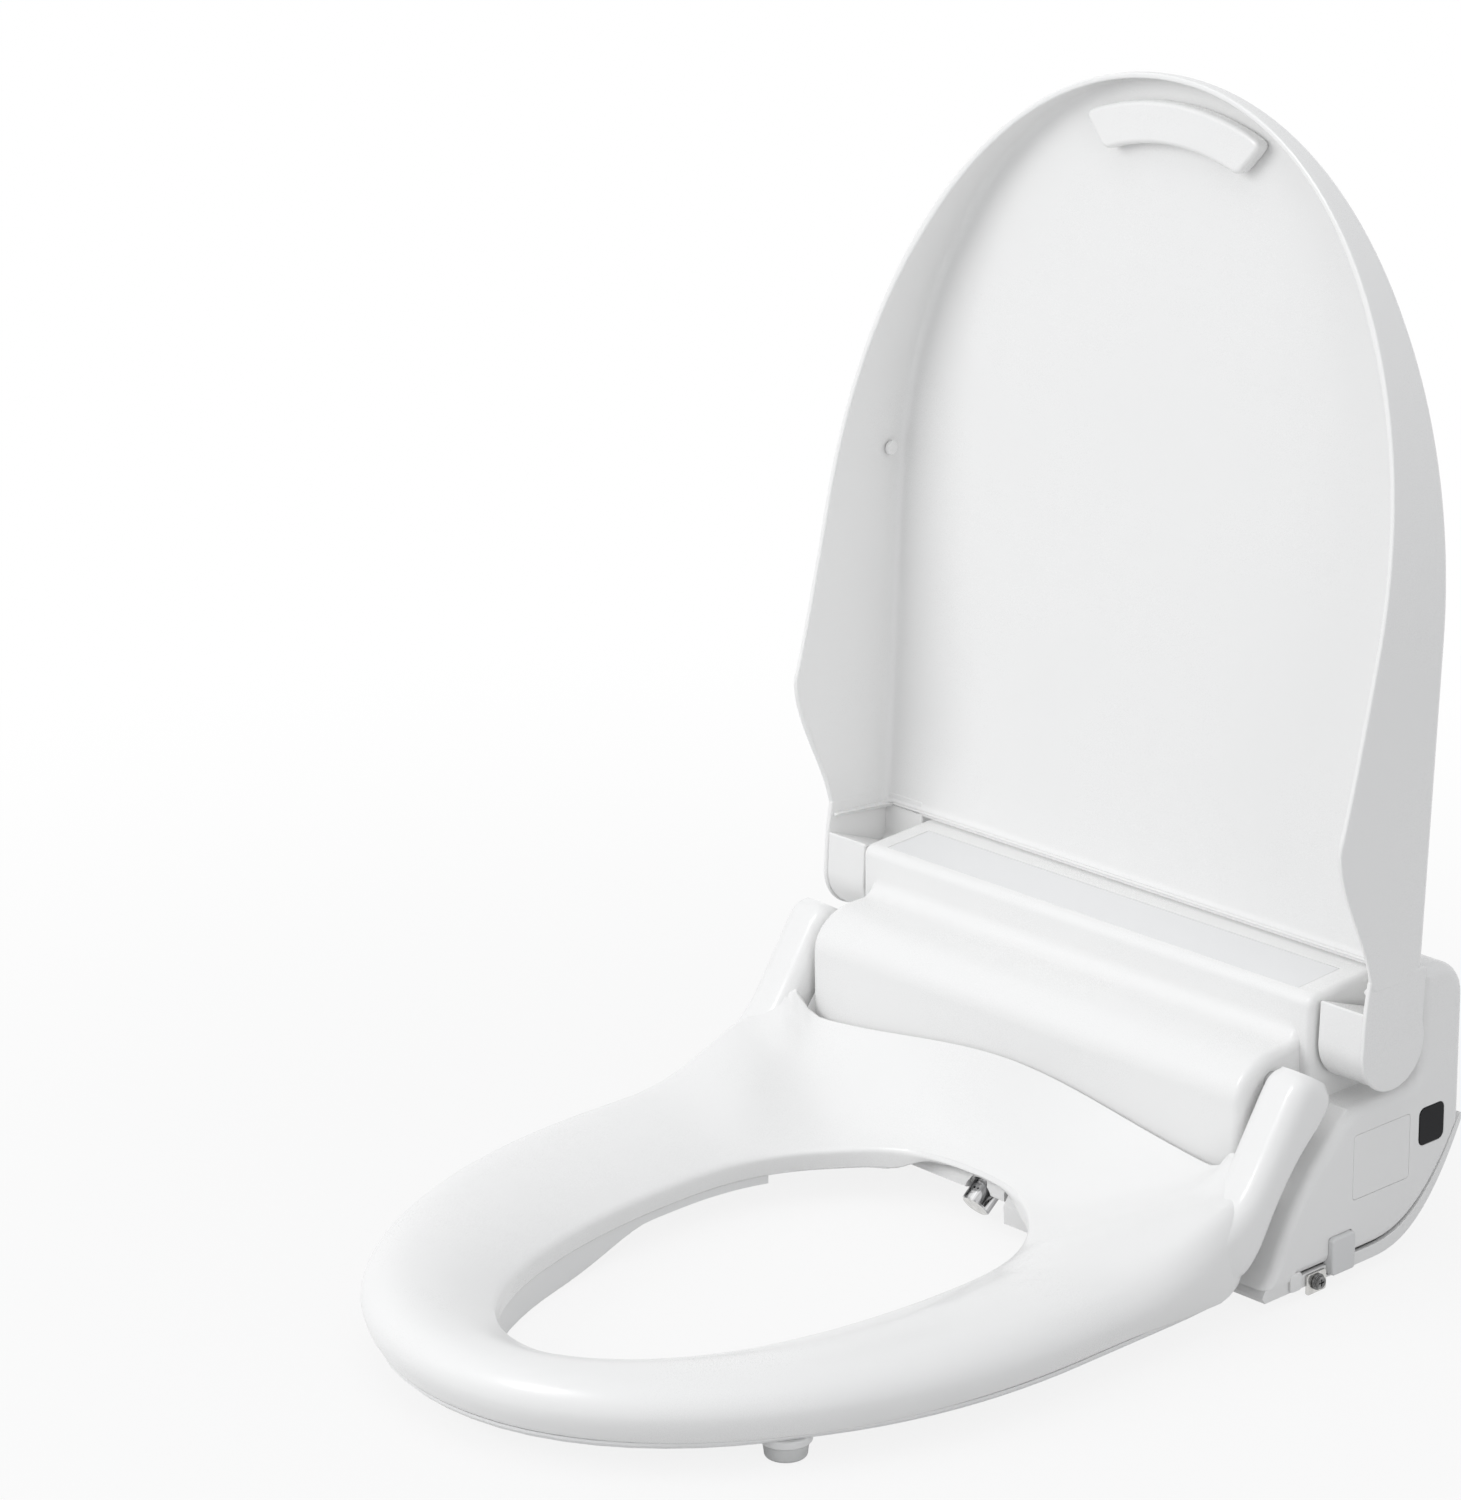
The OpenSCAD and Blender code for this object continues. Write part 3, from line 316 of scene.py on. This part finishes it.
seat_low, seat_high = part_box("seat_shell")
seat_middle = -219.0
seat_half, seat_nose, seat_tail = in_mm(seat_high.x), seat_middle - in_mm(seat_low.y), 135.0
mouth_half, mouth_nose, mouth_tail = 93.0, 190.0, 103.0
rim_z, edge_z, seam_z = 28.0, 29.0, 16.0
crest_z, back_z, back_side_z = 44.0, 80.0, 65.0
ring_steps, ring_points = 216, 38


def squared_oval(q, a, b, n):
    return (abs(math.cos(q) / a) ** n + abs(math.sin(q) / b) ** n) ** (-1 / n)


def mouth_at(q, beyond=0.0):
    """A point of the opening's edge, or one that far into the ring."""
    ahead = math.sin(q) < 0
    r = squared_oval(q, mouth_half, mouth_nose if ahead else mouth_tail, 2.1 if ahead else 2.2) + beyond
    return Vector((r * math.cos(q), seat_middle + r * math.sin(q)))


def rim_at(q):
    """A point of the ring's outer edge, which is round in front and nearly square behind."""
    ahead = math.sin(q) < 0
    r = squared_oval(q, seat_half, seat_nose if ahead else seat_tail, 2.06 if ahead else 9)
    return Vector((r * math.cos(q), seat_middle + r * math.sin(q)))


def underside(p):
    """How high the underside lies: it climbs at the back, over the nozzle bay and the housing's toes."""
    middle = 8.5 * smooth(p.y, -124, -114) + 29.5 * passed(p.y, -113, -84)
    side = 5 * smooth(p.y, -122, -104) + 33 * passed(p.y, -108, -84) ** 1.2
    return seam_z + mix(middle, side, smooth(abs(p.x), 110, 150))


def ring_section(q):
    """One cut through the ring, from its underside over the mouth's rim and the crest to the outer edge."""
    inner, outer = mouth_at(q), rim_at(q)
    w = (outer - inner).length
    rise = smooth(outer.y, -190, -84)
    flow = rise * smooth(math.sin(q), 0.3, 0.85)
    top = mix(crest_z, mix(back_z, back_side_z, smooth(abs(outer.x) / 150)), rise ** 1.25)
    edge, crown, tuck = mix(edge_z, top - 7, rise), mix(0.72, 0.95, rise), mix(6.0, 0.6, rise)
    lift = 2.4 * smooth(inner.y, -150, -118)
    foot, lip, low = underside(mouth_at(q, 3)) + lift, rim_z + lift, underside(outer)
    # up the opening's wall and over its rim
    section = [(3 / w, foot)]
    section += [(d / w, mix(foot, lip - 2.3, t)) for d, t in ((1.1, 0.15), (0.5, 0.55), (0.1, 0.85), (0, 1))]
    section += [(0.25 / w, lip - 1.3), (0.9 / w, lip - 0.5)]
    # up to the crest, round in front and hollow at the back
    for s in (0.035, 0.09, 0.18, 0.28, 0.38, 0.48, 0.58, 0.68, 0.78, 0.87, 0.94, 1.0):
        swell = mix(math.sin(math.pi / 2 * s), s ** 1.5, flow)
        section.append((s * crown, lip + (top - lip) * swell))
    # round to the outer edge and down to the seam
    for turn in (12, 24, 36, 48, 60, 70, 80, 90):
        a = math.radians(turn)
        section.append((crown + (1 - crown) * math.sin(a), edge + (top - edge) * math.cos(a)))
    section += [(1 - tuck * t ** 1.6 / w, mix(edge, low, t)) for t in (0.25, 0.5, 0.75, 0.93)]
    section.append((1 - tuck / w - 0.8 / w, low))
    # back along the underside
    for t in (0.94, 0.8, 0.6, 0.4, 0.2, 0.06):
        s = mix(3 / w, 1 - tuck / w, t)
        section.append((s, underside(inner.lerp(outer, s))))
    return inner, outer, section


ring_cuts = [ring_section(math.tau * k / ring_steps) for k in range(ring_steps)]
topside = range(7, 27)  # the points of a cut that face up


def ring_place(i, k):
    inner, outer, section = ring_cuts[k]
    s, z = section[i]
    p = inner.lerp(outer, s)
    if i in topside and p.y > -118:
        # the ring swells up softly against the arms' inner sides
        near = min(passed(abs(p.x), 168, 160), passed(abs(p.x), 134, 153), 0.97)
        above = mix(59, 91, passed(p.y, -113, -86)) - z
        z += min(18 * (1 - math.sqrt(1 - near * near)), 0.6 * max(above, 0)) * smooth(p.y, -118, -106)
    return Vector((*p, z)) * mm


# up the arm, seen from the side: its front edge and its rear edge as (y, z), and
# how far its outer face stays inside the ring's
arm_stops = [((-172, 36), (-130, 20), 12), ((-150, 45), (-114, 22), 5), ((-130, 51), (-105, 24), 1.2),
             ((-113, 59), (-96, 34), 0), ((-102.5, 68), (-86, 50), 0), ((-94, 79), (-75.5, 65), 0),
             ((-86, 91), (-65, 77), 0), ((-78, 103), (-54, 87), 0), ((-72.5, 110.6), (-48.4, 94), 0),
             ((-68, 114.6), (-46.2, 99.5), 0.6), ((-63.5, 116.8), (-47.2, 106), 2.8)]
arm_inside, arm_corner, arm_steps = 153.0, 9.5, 50
corner_points = 7


def arm_place(i, k):
    """Four rounded corners in each cut across the arm."""
    t = k / (arm_steps - 1) * (len(arm_stops) - 1)
    front, rear = (Vector([between([stop[side][j] for stop in arm_stops], t) for j in (0, 1)])
                   for side in (0, 1))
    drawn = max(between([stop[2] for stop in arm_stops], t), 0)
    run = (front - rear).length
    r = min(arm_corner, run / 2 - 0.5)
    corner, point = divmod(i, corner_points)
    turn = math.radians(90 * corner + 15 * point)
    inner, outer = arm_inside + r + min(drawn, 2.4), seat_half - r - drawn
    x = mix(inner, outer, (1, 0, 0, 1)[corner]) + r * math.cos(turn)
    up = mix(r, run - r, (1, 1, 0, 0)[corner]) + r * math.sin(turn)
    return Vector((x, *(rear + (front - rear) / run * up))) * mm


seat_skin = swept_skin(ring_points, ring_steps, ring_place)
added(seat_skin, swept_skin(4 * corner_points, arm_steps, arm_place, loop=False), Matrix(), mirrored)
seat = finished(seat_skin, "seat_ring_and_arms", "seat", polished_white)
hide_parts("seat_shell")

# ---------- Seat underside ----------
# A satin plate snapped into the underside holds the splash guard, and four
# soft feet in short collars rest the seat on the bowl.
def softened(node, name, body, material, radius, segments=2, crease=34):
    """A copy of a piece's own form, its flats rejoined and its moulded edges rounded."""
    bm = bmesh.new()
    bm.from_mesh(frame["nodes"][node].data)
    bmesh.ops.remove_doubles(bm, verts=bm.verts, dist=2e-6)
    bmesh.ops.dissolve_degenerate(bm, dist=2e-6, edges=bm.edges)
    bmesh.ops.dissolve_limit(bm, angle_limit=math.radians(0.4), verts=bm.verts, edges=bm.edges)
    piece = finished(bm, name, body, material, crease)
    if radius:
        edge = piece.modifiers.new("moulded_edges", "BEVEL")
        edge.limit_method = "ANGLE"
        edge.angle_limit = math.radians(crease)
        edge.width = radius * mm
        edge.segments = segments
        edge.use_clamp_overlap = True
        piece.modifiers.move(1, 0)
    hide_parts(node)
    return piece


softened("seat_plate", "seat_base_plate", "seat", satin_white, 0.5)
softened("bumper_collars", "foot_collars", "seat", satin_white, 0.7, 3)
soft_rubber = moulded_plastic("soft_rubber", (0.70, 0.705, 0.70), (0.66, 0.665, 0.66), (0.5, 0.66), 0.3,
                              patches=24, ripple=420, grain=3200)
softened("bumper_feet", "rubber_feet", "seat", soft_rubber, 1.6, 4)

# ---------- Lid ----------
# A domed shell of even wall: a flat panel, a wide soft turn into the skirt and
# a rolled free edge that runs deep at the hinge and shallow at the tip.
def joint(name):
    return next(j for j in frame["joints"] if j["name"] == name)


lid_half, lid_tip, lid_root, lid_middle = in_mm(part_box("lid_shell")[1].x), 447.0, 28.0, 200.0
lid_behind, lid_wall, skirt_deep, lid_lean = 23.0, 3.0, 50.0, 3.3
lid_pin = Vector([in_mm(along) for along in joint("lid_hinge")["pos_m"]])
lid_frame = (Matrix.Scale(mm, 4) @ Matrix.Translation(lid_pin)
             @ Matrix.Rotation(math.radians(-lid_lean), 4, "X"))


def on_lid(x, w, v):
    """From the lid's own frame: across, forward of the hinge line, and up along the lid."""
    return lid_frame @ Vector((x, -w, v))


def lid_outline(q, inset=0.0):
    """A point of the lid's outline: an oval above its middle, straight sides and foot below."""
    s, c = math.sin(q), abs(math.cos(q))
    if s >= 0:
        r = squared_oval(q, lid_half, lid_tip - lid_middle, 2.05)
    else:
        r = min(lid_half / max(c, 0.01), (lid_middle - lid_root) / abs(s))
    r -= inset / max(c, abs(s))
    return Vector((r * math.cos(q), lid_middle + r * math.sin(q)))


def skirt_reach(v):
    """How far forward the skirt comes at that height: most above the ears, least at the tip."""
    deep = mix(skirt_deep, 16 - lid_behind, passed(v, 108, lid_tip) ** 0.86)
    return mix(19.0, deep, smooth(v, 24, 110))


def free_edge(q):
    """How far forward the skirt reaches; along the lid's foot it is only a lip."""
    p = lid_outline(q)
    if math.sin(q) < 0 and p.y < lid_root + 2 and abs(p.x) < lid_half * 0.97:
        return 3.4 - lid_behind
    return skirt_reach(p.y)


drop = lid_root - lid_middle
foot_shares = (0.983, 0.965, 0.75, 0.5, 0.25)
lid_turns = [math.pi * i / 96 for i in range(96)]
lid_turns += [math.pi - math.atan2(drop * i / 40, lid_half) for i in range(40)]
lid_turns += [math.pi - math.atan2(drop, lid_half * f) for f in (1, *foot_shares)]
lid_turns += [math.tau + math.atan2(drop, lid_half * f) for f in (0.0001, *reversed(foot_shares))]
lid_turns += [math.tau + math.atan2(drop * i / 40, lid_half) for i in range(39, 0, -1)]
# how far in from the outline and how far in front of the back, from the outer face to the inner
outer_turn = [(18, 0), (14, 0), (12, 0.1), (10.2, 0.4), (8.3, 0.9), (6.5, 1.6), (4.9, 2.5), (3.5, 3.5),
              (2.4, 4.7), (1.5, 6.0), (0.9, 7.4), (0.4, 9)]
rolled_edge = [(0, 4), (0, 0.9), (0.2, 0.4), (0.55, 0.1), (1.0, 0), (2.0, 0), (2.45, 0.1), (2.8, 0.4),
               (3, 0.9), (3, 4)]
inner_turn = [(3.0, 11), (3.08, 7.6), (3.3, 6.0), (3.75, 4.8), (4.45, 3.95), (5.4, 3.35), (6.5, 3.07),
              (7.8, 3), (13, 3), (18, 3)]
lid_rows = ([(d, t, False) for d, t in outer_turn] + [(d, t, True) for d, t in rolled_edge]
            + [(d, t, False) for d, t in inner_turn])


def lid_place(i, k):
    inset, t, free = lid_rows[i]
    q = lid_turns[k]
    p, edge = lid_outline(q, inset), free_edge(q)
    if free:
        at_foot = edge < 0 and math.sin(q) < 0 and p.y < lid_root + 6
        return on_lid(p.x, edge - (min(t, 2.2) if at_foot else t), p.y)
    # a shallow lip squeezes the turn that a deep skirt has room for
    deep = edge + lid_behind
    if deep <= 12 and t >= 4.4:
        t = mix(4.4, deep - 2.4, passed(t, 4.4, 11))
    return on_lid(p.x, t - lid_behind, p.y)


def arc(y, z, r, start, end, steps):
    return [(y + r * math.cos(math.radians(mix(start, end, i / steps))),
             z + r * math.sin(math.radians(mix(start, end, i / steps)))) for i in range(steps + 1)]


def slab(outline, x0, x1, radius, segments=5):
    """A plate of that side view between two x, its rims rounded; in millimetres."""
    bm = bmesh.new()
    face = bm.faces.new([bm.verts.new((x0, y, z)) for y, z in outline])
    grown = bmesh.ops.extrude_face_region(bm, geom=[face])
    bmesh.ops.translate(bm, vec=(x1 - x0, 0, 0),
                        verts=[v for v in grown["geom"] if isinstance(v, bmesh.types.BMVert)])
    bmesh.ops.recalc_face_normals(bm, faces=bm.faces)
    rims = [e for e in bm.edges if e.calc_face_angle(0) > math.radians(34)]
    bmesh.ops.bevel(bm, geom=rims, offset=radius, offset_type="OFFSET", affect="EDGES", segments=segments,
                    profile=0.5, material=-1, clamp_overlap=True)
    return bm


lid_skin = swept_skin(len(lid_rows), len(lid_turns), lid_place, ring=False)
cheek = slab([(-20.6, lid_root + 9), (lid_behind - 2, lid_root + 9)] + arc(0, 0, 22.8, 23, -180, 56)
             + [(-22.8, 8), (-22.7, 16), (-22.2, 24), (-21.4, 31)], 185.9, 188.7, 0.9)
block = slab(arc(0, 0, 22, 180, 360, 48) + [(lid_behind - 1.2, lid_root + 8), (19.6, lid_root + 8),
                                            (19.6, 12), (17, 9), (-22, 20.5)], 158.7, 186.6, 2.2, 6)
for ear in (cheek, block):
    added(lid_skin, ear, lid_frame, lid_frame @ mirrored)
lid = finished(lid_skin, "lid_shell_skin", "lid", polished_white)
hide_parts("lid_shell")

# ---------- Lid pads ----------
# An arched bumper bar inside the tip rests on the seat's nose, and two small
# buttons hold the lid's sides off the seat.
def eased(before, corner, after, reach):
    """A corner of an outline as a short curve."""
    before, corner, after = Vector(before), Vector(corner), Vector(after)
    a = corner + (before - corner).normalized() * reach
    b = corner + (after - corner).normalized() * reach
    return [tuple(a.lerp(corner, t).lerp(corner.lerp(b, t), t)) for t in (0, 0.2, 0.4, 0.6, 0.8, 1)]


bar_low = arc(0, lid_tip - 155.2, 120, 71.5, 108.5, 26)
bar_high = arc(0, lid_tip - 164, 150, 109.5, 70.5, 26)
low_corner, high_corner = (-44.2, 403.5), (-59.2, 420.6)
bar_end = (eased(bar_low[-1], low_corner, high_corner, 4.5)
           + eased(low_corner, high_corner, bar_high[0], 6))
bar_outline = bar_low + bar_end + bar_high + [(-x, v) for x, v in reversed(bar_end)]
bar_thick, bar_radius = 9, 2.6
on_panel = Matrix(((0, 1, 0, 0), (-1, 0, 0, lid_behind - lid_wall - 0.05), (0, 0, 1, 0), (0, 0, 0, 1)))
lid_bar = bmesh.new()
added(lid_bar, slab(bar_outline, 0, bar_thick, bar_radius, 6), lid_frame @ on_panel)
bar = finished(lid_bar, "lid_bumper_bar", "lid", polished_white, outwards=True)
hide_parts("lid_pad")
softened("lid_nubs", "lid_side_buttons", "lid", polished_white, 0.9, 4)

# ---------- Housing ----------
# The cover holds the works behind the seat: a deep front face, a ledge, the
# crown with its inlaid strip, and lower sides under the lid's ears.
softened("rear_cover", "housing_cover", "housing", polished_white, 0.35, 3)
softened("base_tray", "housing_base", "housing", polished_white, 0.5, 3)
inlay_satin = moulded_plastic("inlay_satin", (0.80, 0.803, 0.807), (0.785, 0.788, 0.792), (0.3, 0.38), 0.1)
softened("top_strip", "crown_inlay", "housing", inlay_satin, 0.25, 3)
# the foot of each side wall flares forward in a hollow curve, (y, z) from its top to the seam
toe_front = [(-76.5, 36), (-79.0, 31), (-81.2, 26), (-84.0, 20.4), (-87.4, 16.2), (-90.4, 13.4),
             (-92.2, 12.3), (-92.6, 11.9)]
toe_root, toe_inside, toe_outside, toe_corner, toe_steps = -70, 150, 177.8, 6, 10
toe_outline = [(toe_root, toe_front[0][1]), *toe_front, (toe_root, toe_front[-1][1])]


def toe_place(i, k):
    """Straight across from the inner side, then round the outer corner."""
    y, z = toe_outline[i]
    a = math.pi / 2 * max(k - 1, 0) / (toe_steps - 2)
    if y != toe_root:
        y += toe_corner * (1 - math.cos(a))
    x = toe_inside if k == 0 else toe_outside - toe_corner + toe_corner * math.sin(a)
    return Vector((x, y, z)) * mm


toe_skin = bmesh.new()
added(toe_skin, swept_skin(len(toe_outline), toe_steps, toe_place, loop=False), Matrix(), mirrored)
finished(toe_skin, "housing_toes", "housing", polished_white)
softened("side_panel", "side_hatch", "housing", polished_white, 0.2, 2)
softened("drain_cap", "drain_cap_skin", "housing", polished_white, 0.3, 2)

# ---------- Sensor window and release button ----------
# A smoked window for the remote's signal, and the spring button that frees the
# housing from its mounting plate.
smoked = moulded_plastic("smoked_window", (0.010, 0.010, 0.012), (0.014, 0.014, 0.016), (0.16, 0.22), 0.02,
                         ior=1.22)
softened("sensor_window", "signal_window", "housing", smoked, 0.6, 4)
button_satin = moulded_plastic("button_satin", (0.74, 0.743, 0.745), (0.71, 0.713, 0.715), (0.3, 0.42), 0.15)
softened("release_button", "release_key", "release", button_satin, 1.0, 4)

# ---------- Earth tab and screw ----------
# A bright nickelled tab under a cross-head screw with its washer, at the foot
# of the open side.
def worked_metal(name, colour, deeper, gloss, streaks, tilt=0.0, bump=0.2):
    """A metal whose tone and gloss run in streaks along y, tilted up by that angle; on most metals the
    streaks are grain, on the chrome they are painted reflections.
    """
    material = bpy.data.materials.new(name)
    tree = shader_tree(material)
    place = object_place(tree)
    lay = shader(tree, "Mapping", {"Vector": place, "Rotation": (math.radians(-tilt), 0, 0)})
    stretch = shader(tree, "Mapping", {"Vector": lay.outputs["Vector"], "Scale": streaks})
    drawn = shader(tree, "TexNoise", {"Vector": stretch.outputs["Vector"], "Scale": 1.0, "Detail": 5})
    fine = shader(tree, "TexNoise", {"Vector": place, "Scale": 900, "Detail": 3})
    surfaced(tree, spread(tree, drawn.outputs[0], 0.0, 1.0, 0.35, 0.65), (colour, deeper),
             spread(tree, fine.outputs[0], *gloss), fine.outputs[0], bump, 0.0001, Metallic=1.0)
    return material


nickel = worked_metal("bright_nickel", (0.72, 0.715, 0.70), (0.58, 0.575, 0.56), (0.16, 0.3),
                      (300, 300, 20), bump=0.3)
darkened = worked_metal("darkened_steel", (0.30, 0.30, 0.30), (0.13, 0.13, 0.13), (0.2, 0.36),
                        (400, 400, 400), bump=0.5)
softened("earth_tab", "earth_tongue", "housing", nickel, 0.25, 3)
softened("earth_screw", "earth_screw_head", "housing", darkened, 0.18, 2)

# ---------- Nozzle ----------
# A chromed wand with a flat tip and two spray holes on top, on a white sliding
# body with a toothed rack, that comes out through a collar in the bay.
wand_run = -Vector(joint("nozzle_slide")["axis"])
wand_tilt = math.degrees(math.atan2(wand_run.z, wand_run.y))
# painted reflections: the chrome's dark and bright streaks along the wand stand in for what it mirrors
chrome = worked_metal("chrome_painted_reflections", (0.93, 0.93, 0.94), (0.10, 0.10, 0.105), (0.04, 0.09),
                      (230, 12, 230), tilt=wand_tilt, bump=0.04)
wand = softened("nozzle_chrome", "nozzle_sleeve", "nozzle", chrome, 0.3, 3)
wand.data.materials.append(nickel)
for facet in wand.data.polygons:
    if facet.normal.dot(wand_run) < -0.95:
        facet.material_index = 1
milky = moulded_plastic("milky_plastic", (0.80, 0.80, 0.79), (0.76, 0.76, 0.75), (0.3, 0.42), 0.12,
                        patches=30, ripple=300)
softened("nozzle_body", "nozzle_slide", "nozzle", milky, 0.0)
softened("nozzle_bay", "nozzle_bay_shell", "housing", polished_white, 0.6, 3)
softened("port_ring", "nozzle_collar", "housing", polished_white, 0.7, 4)
acetal = moulded_plastic("acetal", (0.66, 0.66, 0.64), (0.60, 0.60, 0.58), (0.26, 0.4), 0.12, patches=60)
softened("nozzle_pinion", "nozzle_gear", "pinion", acetal, 0.0)
works_grey = moulded_plastic("works_grey", (0.50, 0.505, 0.51), (0.44, 0.445, 0.45), (0.4, 0.56), 0.3,
                             patches=22, ripple=260, grain=1500)
softened("nozzle_guide", "nozzle_rail", "housing", works_grey, 0.0)
zinc = worked_metal("zinc_plate", (0.60, 0.61, 0.62), (0.42, 0.43, 0.44), (0.26, 0.44), (90, 90, 90),
                    bump=0.5)
softened("nozzle_motor", "nozzle_drive_motor", "housing", zinc, 0.5, 3)

# ---------- Dryer ----------
# A squirrel-cage fan in a scroll blows warm air through a duct to the flap that
# hangs on two pins in front of the bay.
softened("dryer_flap", "air_flap", "flap", polished_white, 0.4, 3)
softened("dryer_scroll", "fan_scroll", "housing", works_grey, 0.0)
softened("dryer_duct", "air_duct", "housing", works_grey, 0.0)
fan_black = moulded_plastic("fan_black", (0.035, 0.035, 0.037), (0.05, 0.05, 0.052), (0.3, 0.5), 0.3,
                            patches=40)
softened("dryer_fan", "fan_wheel", "fan", fan_black, 0.0)
softened("dryer_motor", "fan_motor", "housing", zinc, 0.5, 3)

# ---------- Water works ----------
# Mains water enters under the rear corner, is let in by a valve, warmed in a
# steel tank and passed on by the diverter at the nozzle.
softened("water_inlet", "inlet_spout", "housing", works_grey, 0.4, 2)
softened("inlet_valve", "inlet_valve_block", "housing", works_grey, 0.5, 2)
brushed = worked_metal("brushed_tank", (0.64, 0.645, 0.65), (0.50, 0.505, 0.51), (0.22, 0.4),
                       (8, 260, 260), bump=0.5)
softened("water_heater", "heating_tank", "housing", brushed, 0.6, 3)
softened("diverter_valve", "diverter_block", "housing", works_grey, 0.5, 2)
silicone = moulded_plastic("silicone_tube", (0.70, 0.71, 0.70), (0.62, 0.63, 0.62), (0.3, 0.5), 0.25,
                           patches=50, ripple=500)
softened("inlet_hose", "cold_water_tube", "housing", silicone, 0.0, crease=70)
softened("warm_hose", "warm_water_tube", "housing", silicone, 0.0, crease=70)

# ---------- Electronics ----------
# The control board stands at the back on two posts, a small board sits behind
# the window, and the cord's gland closes the outlet at the rear.
def laminate(name, colour, track):
    """Solder lacquer over a glass cloth board, with the copper's runs showing through."""
    material = bpy.data.materials.new(name)
    tree = shader_tree(material)
    runs = shader(tree, "TexVoronoi", {"Vector": object_place(tree), "Scale": 160}, distance="CHEBYCHEV")
    edge = spread(tree, runs.outputs["Distance"], 0.0, 1.0, 0.25, 0.35)
    surfaced(tree, edge, (track, colour), spread(tree, runs.outputs["Distance"], 0.22, 0.4), edge, 0.3,
             0.00005)
    return material


board_green = laminate("board_green", (0.02, 0.10, 0.05), (0.05, 0.17, 0.08))
softened("control_board", "main_board", "housing", board_green, 0.2, 2)
softened("sensor_board", "receiver_board", "housing", board_green, 0.2, 2)
gland_rubber = moulded_plastic("gland_rubber", (0.045, 0.045, 0.047), (0.06, 0.06, 0.062), (0.5, 0.68), 0.4,
                               patches=40, ripple=500)
softened("cord_gland", "cord_outlet", "housing", gland_rubber, 0.4, 3)

# ---------- Seat heater ----------
# A printed foil element between two films, glued to the inside of the seat's
# top, warms the ring from within.
film = worked_metal("heater_film", (0.66, 0.66, 0.67), (0.52, 0.52, 0.53), (0.3, 0.5), (60, 60, 60), bump=0.6)
softened("seat_heater", "seat_warming_film", "seat", film, 0.0)

# ---------- Hinges and mounting ----------
# Two oil dampers carry the seat's pins and two the lid's, and a plate with
# sliding bolt pads holds the housing on the bowl.
damper_grey = moulded_plastic("damper_grey", (0.30, 0.305, 0.31), (0.26, 0.265, 0.27), (0.34, 0.5), 0.25,
                              patches=30)
softened("seat_damper", "seat_dampers", "housing", damper_grey, 0.6, 3)
softened("lid_damper", "lid_dampers", "housing", damper_grey, 0.6, 3)
turned = worked_metal("turned_pin", (0.66, 0.66, 0.66), (0.52, 0.52, 0.52), (0.14, 0.26), (700, 20, 20))
softened("seat_pins", "seat_hinge_pins", "seat", turned, 0.5, 3)
softened("lid_pins", "lid_hinge_pins", "lid", turned, 0.5, 3)
softened("mounting_plate", "bowl_plate", "housing", works_grey, 0.3, 2)
softened("mount_sliders", "bolt_pads", "housing", damper_grey, 0.3, 2)
